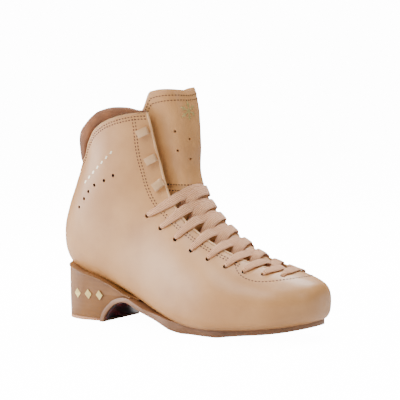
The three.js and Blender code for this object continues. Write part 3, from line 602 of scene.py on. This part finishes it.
def leatherFrame(distance, s):
    # Point on the leather, with the ways off from the lacing line and out of the leather
    out = faceNormal(angleAt(distance, s), s)
    sign = 1 if distance >= 0 else -1
    centre = laidPoint(distance, s, 0)
    away = laidPoint(distance + sign, s, 0) - centre
    return centre, (away - out * away.dot(out)).normalized(), out


def prism(first, sides):
    # Faces of a prism whose two rings of points follow one another
    low, high = list(range(first, first + sides)), list(range(first + sides, first + 2 * sides))
    walls = [(low[i - 1], low[i], high[i], high[i - 1]) for i in range(sides)]
    return walls + [tuple(reversed(low)), tuple(high)]


def pinCutter(frames, radius, low, high, material, sides=16):
    # Pins that cut holes; the walls they leave take the pins' own finish
    points, faces = [], []
    for centre, across, out in frames:
        up = out.cross(across)
        faces += prism(len(points), sides)
        turns = [2 * math.pi * i / sides for i in range(sides)]
        spokes = [across * (radius * math.cos(a)) + up * (radius * math.sin(a)) for a in turns]
        points += [centre + out * height + spoke for height in (low, high) for spoke in spokes]
    return meshPiece("pinCutter", points, faces, material)


def punch(piece, row, radius):
    frames = [leatherFrame(sign * d, s) for sign in (-1, 1) for s, d in lines[row]]
    # The walls the pins leave are painted dark brown as the shade inside the holes
    carve(piece, pinCutter(frames, radius, holes["low"], holes["high"], finishes["paintedHoleShade"]))


# Upper leather
leatherWall = 2.0
upperLeather = bootShell("upperLeather", 0.0, leatherWall, collarLine, 0.02, finishes["leather"])
holes = {"eyelets": 2.4, "hooks": 1.6, "vents": 1.5, "low": -9, "high": 5}
for row in ("eyelets", "hooks", "vents"):
    punch(upperLeather, row, holes[row])
choose(upperLeather)
bpy.ops.object.shade_smooth_by_angle(angle=math.radians(50))
settle(upperLeather, "tan_leather", "upper")
print("upper leather:", len(upperLeather.data.polygons), "faces")

# Lining under it, up to the collar padding
liningDepth = {"outer": 3.6, "inner": 4.6}
liningTop = [(x, z - 0.6) for x, z in padLine]
liningSock = bootShell("liningSock", liningDepth["outer"], liningDepth["inner"], liningTop, 2.4,
                       finishes["lining"], columns=80, rows=80)
liningHoles = {"eyelets": 3.4, "hooks": 1.8}
for row, radius in liningHoles.items():
    punch(liningSock, row, radius)
settle(liningSock, "lining_leather", "lining")
print("lining laid")


def heading(points, i):
    return (points[min(i + 1, len(points) - 1)] - points[max(i - 1, 0)]).normalized()


def along(points, spacing):
    # Evenly spaced points along a line of points, with the direction at each
    sums = [0.0]
    for a, b in zip(points, points[1:]):
        sums.append(sums[-1] + (b - a).length)
    count = max(int(round(sums[-1] / spacing)), 2)
    result, i = [], 0
    for k in range(count + 1):
        want = sums[-1] * k / count
        while i < len(points) - 2 and sums[i + 1] < want:
            i += 1
        f = (want - sums[i]) / max(sums[i + 1] - sums[i], 1e-9)
        point = points[i].lerp(points[i + 1], min(max(f, 0), 1))
        result.append((i + f, point, (points[i + 1] - points[i]).normalized()))
    return result


def tube(name, points, radius, material, sides=10):
    rings = []
    across = None
    for i, point in enumerate(points):
        ahead = heading(points, i)
        if across is None:
            across = ahead.orthogonal().normalized()
        across = (across - ahead * across.dot(ahead)).normalized()
        up = ahead.cross(across)
        rings.append([point + across * (radius * math.cos(2 * math.pi * k / sides))
                      + up * (radius * math.sin(2 * math.pi * k / sides)) for k in range(sides)])
    skin, faces = ringSkin(rings)
    return meshPiece(name, skin, faces, material, sharp=60)


# Light rolled edge of the facings and throat
rolledEdge = {"radius": 1.2, "depth": 0.95}


def openingTop(side):
    return stationOf(lambda s: laidPoint(side * lookup(lines["opening"], s), s, 0), collarLine)


def edgePath(side):
    throat, top = lines["opening"][-1][0], openingTop(side) - 0.02
    points = []
    for i in range(150, -1, -1):
        s = throat + (top - throat) * (i / 150) ** 1.5
        points.append(laidPoint(side * lookup(lines["opening"], s), s, -rolledEdge["depth"]))
    return points


beadPath = edgePath(-1) + edgePath(1)[::-1][1:]
facingBead = tube("facingBead", beadPath, rolledEdge["radius"], finishes["rolledEdge"], sides=12)
settle(facingBead, "tan_leather")

# The leather's top edge is turned over
collarEdge = {"radius": 1.1, "drop": 0.4}


def aroundCollar(drop, out, spare=0.0):
    # Points a drop below the collar's edge, leaving a spare share at each end
    count = 220
    points = []
    for j in range(count + 1):
        v = spare + (1 - 2 * spare) * j / count
        s = stationOf(lambda s: wallPoint(v, s) + Vector((0, 0, drop)), collarLine)
        points.append(offPoint(wallAngle(v, s), s, out))
    return points


collarBead = tube("collarBead", aroundCollar(collarEdge["drop"], -1.0), collarEdge["radius"],
                  finishes["rolledEdge"], sides=10)
settle(collarBead, "tan_leather")
print("edges rolled")

# Stitches
thread = {"length": 1.9, "width": 1.05, "rise": 0.35, "spacing": 3.0}


def stitchRow(points, normals, shift):
    # One row of short threads beside a line on the leather
    skin, faces = [], []
    moved = [p + heading(points, i).cross(n) * shift for i, (p, n) in enumerate(zip(points, normals))]
    for where, centre, ahead in along(moved, thread["spacing"]):
        n = normals[min(int(where), len(normals) - 1)]
        ahead = (ahead - n * ahead.dot(n)).normalized()
        across = ahead.cross(n)
        first = len(skin)
        half, wide = thread["length"] / 2, thread["width"] / 2
        for a, w, h in ((-1, 0.5, -0.3), (-0.55, 1, 0.75), (0.55, 1, 0.75), (1, 0.5, -0.3)):
            for side in (-1, 1):
                end = centre + ahead * (half * a)
                skin.append(end + across * (wide * w * side * 0.6) + n * (thread["rise"] * h))
                skin.append(end + across * (wide * w * side) - n * 0.2)
        for a in (first, first + 4, first + 8):
            faces += [(a, a + 2, a + 6, a + 4), (a + 1, a, a + 4, a + 5)]
            faces += [(a + 2, a + 3, a + 7, a + 6), (a + 3, a + 1, a + 5, a + 7)]
        faces += [(first, first + 1, first + 3, first + 2), (first + 12, first + 14, first + 15, first + 13)]
    return skin, faces


def stitched(name, rows):
    skin, faces = [], []
    for points, normals, shift in rows:
        more, moreFaces = stitchRow(points, normals, shift)
        faces += [tuple(i + len(skin) for i in f) for f in moreFaces]
        skin += more
    # The threads take the dark finish that paints the shade of the stitch holes
    return meshPiece(name, skin, faces, finishes["stitch"], sharp=30)


def laidLine(places, count=120, out=0.05):
    points, normals = [], []
    for i in range(count + 1):
        s, d = spline(places, i / count)
        u = angleAt(d, s)
        points.append(offPoint(u, s, out))
        normals.append(faceNormal(u, s))
    return points, normals


rowHalfGap = 1.25
facingSeam = [(17.3, 57), (15.6, 57), (13.8, 54), (12.5, 52.5), (11.4, 49.5), (10.4, 44.5), (9.3, 39.5),
              (8.3, 35.5), (7.4, 32.5), (6.6, 29.5), (6.15, 28.5)]
lobeSeam = [(6.3, 28), (6.15, 33), (5.85, 37), (5.45, 38), (5.0, 35.5), (4.45, 29.5), (3.9, 21), (3.55, 13),
            (3.35, 5), (3.3, 0)]
rows = []
for side in (-1, 1):
    points, normals = laidLine([(s, side * d) for s, d in facingSeam])
    rows += [(points, normals, -rowHalfGap), (points, normals, rowHalfGap)]
    points, normals = laidLine([(s, side * d) for s, d in lobeSeam])
    rows += [(points, normals, 0)]
facingStitches = stitched("facingStitches", rows)

rows = []
shaftMiddle, up = 75, Vector((0, 0, 1))
for drop in (3.4, 6.0):
    points = aroundCollar(drop, 0.05, spare=0.012)
    normals = []
    for i, p in enumerate(points):
        out = p - Vector((shaftMiddle, 0, p.z))
        side = heading(points, i).cross(up).normalized()
        normals.append(side if side.dot(out) > 0 else -side)
    rows.append((points, normals, 0))
collarStitches = stitched("collarStitches", rows)
for piece in (facingStitches, collarStitches):
    settle(piece, "tan_leather")
print("stitches sewn:", len(facingStitches.data.polygons) + len(collarStitches.data.polygons), "faces")

# Suede collar roll, standing above the leather and padding the inside
roll = {"out": 1.3, "puff": 1.5, "inner": 5.0, "depth": 4.6, "linings": 4.95, "crown": 0.03}


def padDepth(v, s):
    # The padding thins towards the lacing edges
    u = wallAngle(v, s)
    turn = abs(u if u <= math.pi else u - 2 * math.pi)
    return roll["depth"] + roll["inner"] * smooth(1.35, 1.9, turn)


def rollSection(v):
    # Up the outside from the leather's edge, over the crown, down the inside and back behind the leather
    edge = stationOf(lambda s: wallPoint(v, s) + Vector((0, 0, -0.5)), collarLine)
    top = max(stationOf(lambda s: wallPoint(v, s), rollLine), edge + 0.05)
    low = stationOf(lambda s: wallPoint(v, s), padLine)
    taper = smooth(0, 0.035, min(v, 1 - v))
    out, puff, drop = roll["out"], roll["puff"], 1.2
    deep = padDepth(v, top)
    places = []
    for t in (0.0, 0.12, 0.3, 0.5, 0.7, 0.86, 0.96):
        bulge = puff * taper * math.sin(math.pi * t)
        places.append((edge + (top - edge) * t, out * min(1, t * 8 + 0.3) + bulge - drop * smooth(0.8, 1, t)))
    places += [(top + roll["crown"], out - drop - (out - drop + deep) * t) for t in (0.15, 0.4, 0.6, 0.85)]
    for t in (0.04, 0.14, 0.3, 0.45, 0.6, 0.75, 0.88, 0.97):
        s = top - (top - low) * t
        places.append((s, -padDepth(v, s) + 0.6 * (1 - math.sin(math.pi * t))))
    places += [(low - 0.02, -padDepth(v, low) + drop), (low, -roll["linings"])]
    places += [(low + (edge - low) * t, -roll["linings"]) for t in (0.25, 0.5, 0.75, 0.97)]
    places += [(edge, -3.2), (edge, -1.0)]
    return [offPoint(wallAngle(v, s), s, depth) for s, depth in places]


def collarRoll():
    columns = 120
    skin, faces = ringSkin([rollSection(j / columns) for j in range(columns + 1)])
    return meshPiece("collarRoll", skin, faces, finishes["suede"])


collarPadding = collarRoll()
choose(collarPadding)
finer = collarPadding.modifiers.new("finer", "SUBSURF")
finer.levels = finer.render_levels = 1
bpy.ops.object.modifier_apply(modifier="finer")
settle(collarPadding, "suede", "collar_padding")
print("collar roll:", len(collarPadding.data.polygons), "faces")

# Tongue: one padded piece with a stitched seam across it
tongue = {"low": 3.3, "top": 17.95, "face": 9.9, "rise": -1.2, "wall": 5.9, "belly": 2.6, "flexHeight": 127.0,
          "groove": 0.8, "edge": 1.4, "endFall": 1.5, "endThin": 0.55}


def tongueFace(distance, s):
    edge = lookup(lines["opening"], s)
    bulge = smooth(8, 22, edge) * (1 - smooth(edge * 0.3, edge, abs(distance)))
    belly = tongue["belly"] * smooth(11.5, 14.5, s) * (1 - (abs(distance) / lookup(lines["tongue"], s)) ** 2)
    return -tongue["face"] + (tongue["face"] - tongue["rise"]) * bulge + belly


def tongueTop(a):
    x = 2 * a - 1
    wave = 0.05 * math.sin(5.2 * x + 0.6)
    return tongue["top"] + 0.35 * smooth(0, 0.6, abs(x)) - 0.75 * smooth(0.7, 1, abs(x)) + wave


def tongueSpot(a, t, out):
    s = tongue["low"] + (tongueTop(a) - tongue["low"]) * t
    edge = lookup(lines["tongue"], s)
    distance = edge * (2 * a - 1)
    return laidPoint(distance, s, tongueFace(distance, s) + out), s


def seamDip(point):
    return tongue["groove"] * math.exp(-((point.z - tongue["flexHeight"]) / 1.3) ** 2)


def nearEdge(share, reach):
    # From 1 at either end of a share to 0 a little way in
    return max(0, 1 - min(share, 1 - share) * reach) ** 2


def tongueBody():
    across, lengthwise = 56, 150
    columns = [j / across for j in range(across + 1)]
    rings = []
    for i in range(lengthwise + 1):
        t = i / lengthwise
        thin = 1 - tongue["endThin"] * nearEdge(t, 50)
        ring = []
        for a in columns:
            drop = tongue["edge"] * nearEdge(a, 25) + tongue["endFall"] * (1 - thin)
            point, s = tongueSpot(a, t, -drop)
            if 9 < s < 15:
                point = tongueSpot(a, t, -drop - seamDip(point))[0]
            ring.append(point)
        for a in reversed(columns):
            ring.append(tongueSpot(a, t, -tongue["wall"] * thin + tongue["edge"] * nearEdge(a, 25))[0])
        rings.append(ring)
    skin, faces = ringSkin(rings, capped=False)
    n = len(rings[0])
    for base in (0, (len(rings) - 1) * n):
        faces += [(base + j, base + j + 1, base + n - 2 - j, base + n - 1 - j) for j in range(across)]
    return meshPiece("tongueBody", skin, faces, finishes["leather"], sharp=60)


def tongueFrame(distance, s):
    e = 0.6
    at = laidPoint(distance, s, tongueFace(distance, s))
    side = laidPoint(distance + e, s, tongueFace(distance + e, s)) - at
    ahead = laidPoint(distance, s + 0.05, tongueFace(distance, s + 0.05)) - at
    return at, side.cross(ahead).normalized()


tongueBodyPiece = tongueBody()
airHoles = []
for s, d in lines["tongueVents"]:
    for side in (-1, 1):
        centre, out = tongueFrame(side * d, s)
        airHoles.append((centre, out.orthogonal().normalized(), out))
airHole = {"radius": 1.2, "low": -3.4, "high": 4}
airPins = pinCutter(airHoles, airHole["radius"], airHole["low"], airHole["high"], finishes["felt"], sides=12)
carve(tongueBodyPiece, airPins)
choose(tongueBodyPiece)
bpy.ops.object.shade_smooth_by_angle(angle=math.radians(60))


def tongueLine(places, count=90, out=0.05):
    points, normals = [], []
    for i in range(count + 1):
        a, t = spline(places, i / count)
        point, s = tongueSpot(a, t, out)
        distance = lookup(lines["tongue"], s) * (2 * a - 1)
        points.append(point)
        normals.append(tongueFrame(distance, s)[1])
    return points, normals


def seamPlace(a, height):
    low, high = 0.3, 0.9
    for _ in range(24):
        middle = (low + high) / 2
        if tongueSpot(a, middle, 0)[0].z < height:
            low = middle
        else:
            high = middle
    return (a, low)


topRows = [tongueLine([(0.04 + 0.92 * i / 16, 0.98 - back) for i in range(17)]) for back in (0.0, 0.018)]
flexRows = [tongueLine([seamPlace(0.06 + 0.88 * i / 14, tongue["flexHeight"] + rise) for i in range(15)])
            for rise in (-2.6, 2.6)]
topStitches = stitched("tongueTopStitches", [(p, n, 0) for p, n in topRows])
flexStitches = stitched("tongueFlexStitches", [(p, n, 0) for p, n in flexRows])
for piece in (tongueBodyPiece, flexStitches):
    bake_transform(piece)
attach(topStitches, "tongue")
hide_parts("tongue_lower", "tongue_felt_lower", "tongue_upper", "tongue_felt_upper")
print("tongue:", len(tongueBodyPiece.data.polygons), "faces")


# Flat woven lace, bunched where it passes an eyelet
lace = {"wide": 9.2, "thick": 1.15, "bunched": 2.0, "over": 1.3, "cross": 1.6, "clear": 0.9, "flange": 7.6,
        "aside": 1.2, "droop": 0.42, "narrow": 0.46}
strandSteps = 26


def strandFace(distance, s, level, arriving):
    edge = lookup(lines["opening"], s)
    fade = smooth(min(10, edge * 0.4), min(18, edge * 0.85), abs(distance))
    onTongue = tongueFace(distance, s) + lace["clear"] + lace["cross"] * level * (1 - fade)
    if not arriving:
        return onTongue
    lift = smooth(edge - 16, edge - 7, abs(distance))
    return max(onTongue, onTongue + (lace["over"] - onTongue) * lift)


def widthShare(f):
    # Bunched at both eyelets, full width between
    return lace["narrow"] + (1 - lace["narrow"]) * smooth(0.0, 0.16, f) - 0.42 * smooth(0.72, 1.0, f)


def strandPoints(start, end, sign, level):
    # Out from under one facing and over the other: centre, leather normal, share of full width
    result = []
    (s0, d0), (s1, d1) = start, end
    for i in range(1, strandSteps):
        f = i / strandSteps
        s = s0 + (s1 - s0) * f ** (1.7 if sign < 0 else 1.0)
        s -= lace["droop"] * smooth(8, 11.2, s1) * math.sin(math.pi * f)
        distance = sign * (d0 - (d0 + d1) * f)
        u = angleAt(distance, s)
        sag = 0.15 * math.sin(f * 9 + s * 2.1)
        out = strandFace(distance, s, level, f > 0.5) + sag
        result.append((offPoint(u, s, out), faceNormal(u, s), widthShare(f)))
    return result


def throughEyelet(place, sign):
    s, d = place
    u = angleAt(sign * (d - lace["aside"]), s)
    n = faceNormal(u, s)
    return [(offPoint(u, s, out), n, None) for out in (lace["over"] - 0.7, -1.2, -4.2, -lace["flange"])]


def laceRun(sign):
    rowsUp = lines["eyelets"]
    points, side = throughEyelet(rowsUp[0], sign), sign
    level = 1 if sign < 0 else 0
    for i in range(len(rowsUp) - 1):
        points += strandPoints(rowsUp[i], rowsUp[i + 1], side, (1 - level) if i % 2 else level)
        side = -side
        points += throughEyelet(rowsUp[i + 1], side)
    return points, side


def ribbonSkin(points, wide, thick, sides=12):
    # Rounded flat band along (centre, normal, width share) points
    rings, spans = [], []
    before = None
    turns = [2 * math.pi * k / sides for k in range(sides)]
    centres = [point[0] for point in points]
    for i, (centre, normal, share) in enumerate(points):
        ahead = heading(centres, i)
        across = ahead.cross(normal)
        if share is None or across.length < 0.35:
            across = before - ahead * before.dot(ahead) if before is not None else across
        across.normalize()
        if before is not None:
            if across.dot(before) < 0:
                across = -across
            across = (across + before * 0.6).normalized()
            across = (across - ahead * across.dot(ahead)).normalized()
        before = across
        spans.append((centre, across, across.cross(ahead).normalized(), 0.4 if share is None else share))
    for centre, across, up, share in spans:
        w = wide * share / 2
        bunch = (1 - share) / (1 - lace["narrow"])
        h = (thick + (lace["bunched"] - thick) * max(bunch, 0)) / 2
        ring = []
        for a in turns:
            c, d = math.cos(a), math.sin(a)
            x = math.copysign(abs(c) ** 0.6, c)
            y = math.copysign(abs(d) ** 0.8, d)
            ring.append(centre + across * (w * x) + up * (h * y))
        rings.append(ring)
    points, faces = ringSkin(rings)
    uvs = []
    travelled = 0.0
    for i, (centre, _, _, share) in enumerate(spans):
        travelled += (centre - centres[max(i - 1, 0)]).length
        uvs += [(share * wide / 2 * math.cos(a), travelled) for a in turns]
    uvs += [(0.0, 0.0), (0.0, travelled)]
    return points, faces, uvs


def tailPoints(side):
    route = [
        (102.2, -21.8, 99.2), (99.2, -21.0, 97), (96, -20.2, 93.6), (92.4, -19.4, 87), (89.8, -18.8, 78),
        (88.2, -18.5, 68), (88.6, -18.2, 58), (90.4, -17.8, 48.5),
        (94.5, -17.2, 40), (101, -16.6, 33.6), (110, -16, 28.6), (121, -15.6, 24.4), (132, -15.2, 21.2),
        (144, -15, 19.2), (156, -15, 18.2), (168, -15.4, 17.7), (180, -16.2, 17.8), (191, -17, 18.4),
        (201, -16.6, 19.4), (207.6, -13.2, 20.1), (209, -8.4, 20.2), (205.4, -5, 19.8), (199, -3.9, 19.1),
        (190, -3.7, 18.4), (180, -3.7, 17.8), (170, -3.7, 17.8),
    ]
    steps = 170
    line = [Vector(spline(route, i / steps)) for i in range(steps + 1)]
    return [Vector((p.x, -p.y * side, p.z)) for p in line]


def towards(points, side):
    # The last strand runs on to where the free end begins
    start = tailPoints(side)[0]
    last0, n0, _ = points[-1]
    return [(last0.lerp(start, f), n0, 0.36 + 0.3 * f) for f in (0.35, 0.7, 0.97)]


outerRun, outerSide = laceRun(-1)
innerRun, innerSide = laceRun(1)
# The lace starts as a bar between the two eyelets nearest the toe
s0, d0 = lines["eyelets"][0]
barSteps = 9
bar = []
for i in range(-barSteps, barSteps + 1):
    x = i / barSteps
    u = angleAt(d0 * 0.86 * x, s0)
    share = 0.5 + 0.5 * smooth(1.0, 0.55, abs(x))
    bar.append((offPoint(u, s0, lace["over"] - 0.3 * x * x), faceNormal(u, s0), share))
whole = towards(outerRun, outerSide)[::-1] + outerRun[::-1] + bar
whole += innerRun + towards(innerRun, innerSide)
skin, faces, uvs = ribbonSkin(whole, lace["wide"], lace["thick"])
laceRibbon = meshPiece("laceRibbon", skin, faces, finishes["lace"], uvs=uvs)
settle(laceRibbon, "lace_cloth", "lace")
print("lace:", len(laceRibbon.data.polygons), "faces")

# The two free ends, tucked into the boot, each with its stiff tip
tail = {"wide": 6.4, "thick": 1.2}
for side in (outerSide, innerSide):
    word = "outer" if side < 0 else "inner"
    centres = tailPoints(side)
    normals = []
    for i, p in enumerate(centres):
        ahead = heading(centres, i)
        flat = Vector((-ahead.z, 0, ahead.x)) if abs(ahead.y) < 0.8 else Vector((0, 0, 1))
        flat = flat - ahead * flat.dot(ahead)
        normals.append(flat.normalized())
    band = [(p, n, 1.0) for p, n in zip(centres, normals)]
    skin, faces, uvs = ribbonSkin(band, tail["wide"], tail["thick"])
    freeEnd = meshPiece("laceEnd" + word.title(), skin, faces, finishes["lace"], uvs=uvs)
    settle(freeEnd, "lace_cloth", "lace_end_" + word)
    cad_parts["aglet_" + word]


# CAD pieces with softened edges
def refined(node, name, material, bevel, angle=30):
    copy = bpy.data.objects.new(name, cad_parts[node].data.copy())
    bpy.context.collection.objects.link(copy)
    copy.data.materials.clear()
    copy.data.materials.append(material)
    choose(copy)
    bpy.ops.object.mode_set(mode="EDIT")
    bpy.ops.mesh.select_all(action="SELECT")
    bpy.ops.mesh.remove_doubles(threshold=0.00002)
    bpy.ops.mesh.dissolve_limited(angle_limit=math.radians(0.5))
    bpy.ops.mesh.normals_make_consistent(inside=False)
    bpy.ops.object.mode_set(mode="OBJECT")
    edge = copy.modifiers.new("edge", "BEVEL")
    edge.width = bevel / 1000
    edge.segments = 2
    edge.limit_method = "ANGLE"
    edge.angle_limit = math.radians(angle)
    bpy.ops.object.modifier_apply(modifier="edge")
    bpy.ops.object.shade_smooth_by_angle(angle=math.radians(40))
    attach(copy, "boot")
    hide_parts(node)
    return copy


hookParts = (("hook", "hookPlate", 0.28), ("hook_rivet", "hookRivet", 0.3))
for name in ("outer", "inner"):
    for i in range(1, len(lines["hooks"]) + 1):
        for node, title, edge in hookParts:
            piece = refined(f"{node}_{name}_{i}", f"{title}{name.title()}{i}", finishes["fitting"], edge)

# Node, piece, finish, slot and softened edge of each bottom piece
bottom = (
    ("outsole", "outsolePiece", "sole", "sole_leather", 0.7),
    ("heel_block", "heelPiece", "heel", "heel_leather", 0.5),
    ("heel_top_piece", "topPiece", "topPiece", "top_piece_rubber", 0.5),
    ("breast_panel", "breastPiece", "breast", "gloss_lacquer", 0.2),
    ("footbed", "footbedPiece", "footbed", "suede", 0.6),
)
for node, title, finish, slot, edge in bottom:
    refined(node, title, finishes[finish], edge, angle=50)
print("bottom pieces softened")

# Small gold marks: a snowflake on the tongue and three diamonds on the heel
marks = {"flake": (16.8, -6.0), "flakeSize": 8.5, "arm": 1.3, "rise": 0.25}


def diamond(size, ratio):
    return [(size, 0), (0, size * ratio), (-size, 0), (0, -size * ratio)]


def relief(name, shapes, spot, material, body="boot"):
    # Flat shapes lifted off a surface: spot gives the point for a place and height
    skin, faces = [], []
    for shape in shapes:
        first, n = len(skin), len(shape)
        skin += [spot(x, y, -0.1) for x, y in shape] + [spot(x, y, marks["rise"]) for x, y in shape]
        faces += prism(first, n)
    settle(meshPiece(name, skin, faces, material, sharp=20), "fitting_metal", body=body)


def turned(shape, angle, x=0.0, y=0.0):
    c, s = math.cos(angle), math.sin(angle)
    return [(x + c * a - s * b, y + s * a + c * b) for a, b in shape]


flakeShapes = []
size, arm = marks["flakeSize"], marks["arm"]
for k in range(6):
    angle = math.pi / 6 + k * math.pi / 3
    for start, end in ((0.8, size * 0.42), (size * 0.42, size * 0.75), (size * 0.75, size)):
        bar1 = [(start, -arm / 2), (end, -arm / 2), (end, arm / 2), (start, arm / 2)]
        flakeShapes.append(turned(bar1, angle))
    for lean in (-1, 1):
        twig = [(0, -arm * 0.4), (size * 0.3, -arm * 0.3), (size * 0.3, arm * 0.3), (0, arm * 0.4)]
        c, s = math.cos(angle), math.sin(angle)
        flakeShapes.append(turned(twig, angle + lean * 0.9, size * 0.55 * c, size * 0.55 * s))
flakeShapes.append([(0.9 * math.cos(k * math.pi / 3), 0.9 * math.sin(k * math.pi / 3)) for k in range(6)])
flakeStation, flakeSide = marks["flake"]


def stationLength(distance, s):
    return (laidPoint(distance, s + 0.5, 0) - laidPoint(distance, s - 0.5, 0)).length


perStation = stationLength(flakeSide, flakeStation)


def flakeSpot(x, y, out):
    s, d = flakeStation + y / perStation, flakeSide + x
    return laidPoint(d, s, tongueFace(d, s) + out)


relief("tongueSnowflake", flakeShapes, flakeSpot, finishes["gold"], body="tongue")

quarter = {"from": (15.5, 124), "to": (16.23, 86), "count": 7, "size": 2.0}


def quarterSpot(x, y, out):
    s0, d0 = quarter["from"]
    s1, d1 = quarter["to"]
    f = x / 100
    s, d = s0 + (s1 - s0) * f, d0 + (d1 - d0) * f
    return laidPoint(-d, s + y / stationLength(-d, s), out)


span = (quarterSpot(100, 0, 0) - quarterSpot(0, 0, 0)).length / 100
dots = []
for i in range(quarter["count"]):
    x = 100 * i / (quarter["count"] - 1)
    dots.append([(x + a / span, b) for a, b in diamond(quarter["size"], 0.7)])
relief("quarterDiamonds", dots, quarterSpot, finishes["paleFoil"])
heelMarks = {"x": (24.0, 37.0, 50.0), "z": 25.0, "size": 4.0, "back": 2.0, "base": 28.0, "top": 34.5}


def heelSpot(x, z, out):
    # The heel's outer wall: a rounded D that flares towards the seat
    f = (z - 3.3) / 50.7
    flare = f ** 1.8
    half = heelMarks["base"] + (heelMarks["top"] - heelMarks["base"]) * flare
    middle = heelMarks["back"] + 1.5 * flare - 2.5 * f * (1 - f) + half
    reach = min((max(middle - x, 0) / half), 0.999) ** 2.3
    return Vector((x, -half * (1 - reach) ** (1 / 2.3) - out - 0.15, z))


heelMark = diamond(heelMarks["size"], 1.15)
heelShapes = [[(x + a, heelMarks["z"] + b) for a, b in heelMark] for x in heelMarks["x"]]
relief("heelDiamonds", heelShapes, heelSpot, finishes["gold"])

# Turned rim of the heel cover
rimLine = [(-20, 53), (2, 52.5), (17, 50), (28, 46.5), (45.5, 42.5), (63, 36.5), (77, 29.5), (86, 26.5)]
rim = {"radius": 0.9, "drop": 1.2}
rimPoints = []
for i in range(61):
    turn = -1 + 2 * i / 60
    x = 86 - 83.4 * math.cos(turn * math.pi / 2) ** 0.8
    z = lineHeight(rimLine, x) - rim["drop"]
    wall = heelSpot(x, z, -0.15)
    rimPoints.append(Vector((x, math.copysign(abs(wall.y), turn), z)) if i != 30 else Vector((x, 0, z)))
heelRim = tube("heelRim", rimPoints, rim["radius"], finishes["heel"], sides=8)
settle(heelRim, "heel_leather")
print("marks laid")

# Finishes of the inner and small pieces
inner = {
    "steel": ("shank", "heel_screw"),
    "cork": ("cork_filler",),
    "fibre": ("insole_board", "heel_counter", "toe_puff", "throat_reinforcement",
              "facing_reinforcement_outer", "facing_reinforcement_inner"),
    "fitting": ("aglet_outer", "aglet_inner"),
    "bright": tuple(f"eyelet_{side}_{i}" for side in ("outer", "inner") for i in range(1, 10)),
}
for finish, nodes in inner.items():
    for node in nodes:
        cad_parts[node].data.materials.clear()
        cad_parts[node].data.materials.append(finishes[finish])

bpy.ops.mesh.primitive_plane_add(size=6, location=(0, 0, -0.0002))
floor = bpy.context.object
floor.name = "paleFloor"
floor.data.materials.append(finishes["floor"])

world = bpy.data.worlds.new("studioSky")
world.use_nodes = True
world.node_tree.nodes["Background"].inputs["Color"].default_value = studio["sky"]
path = world.node_tree.nodes.new("ShaderNodeLightPath")
level = world.node_tree.nodes.new("ShaderNodeMapRange")
level.inputs["To Min"].default_value = studio["skyPower"]
level.inputs["To Max"].default_value = studio["skySeen"]
world.node_tree.links.new(path.outputs["Is Camera Ray"], level.inputs["Value"])
world.node_tree.links.new(level.outputs[0], world.node_tree.nodes["Background"].inputs["Strength"])
bpy.context.scene.world = world
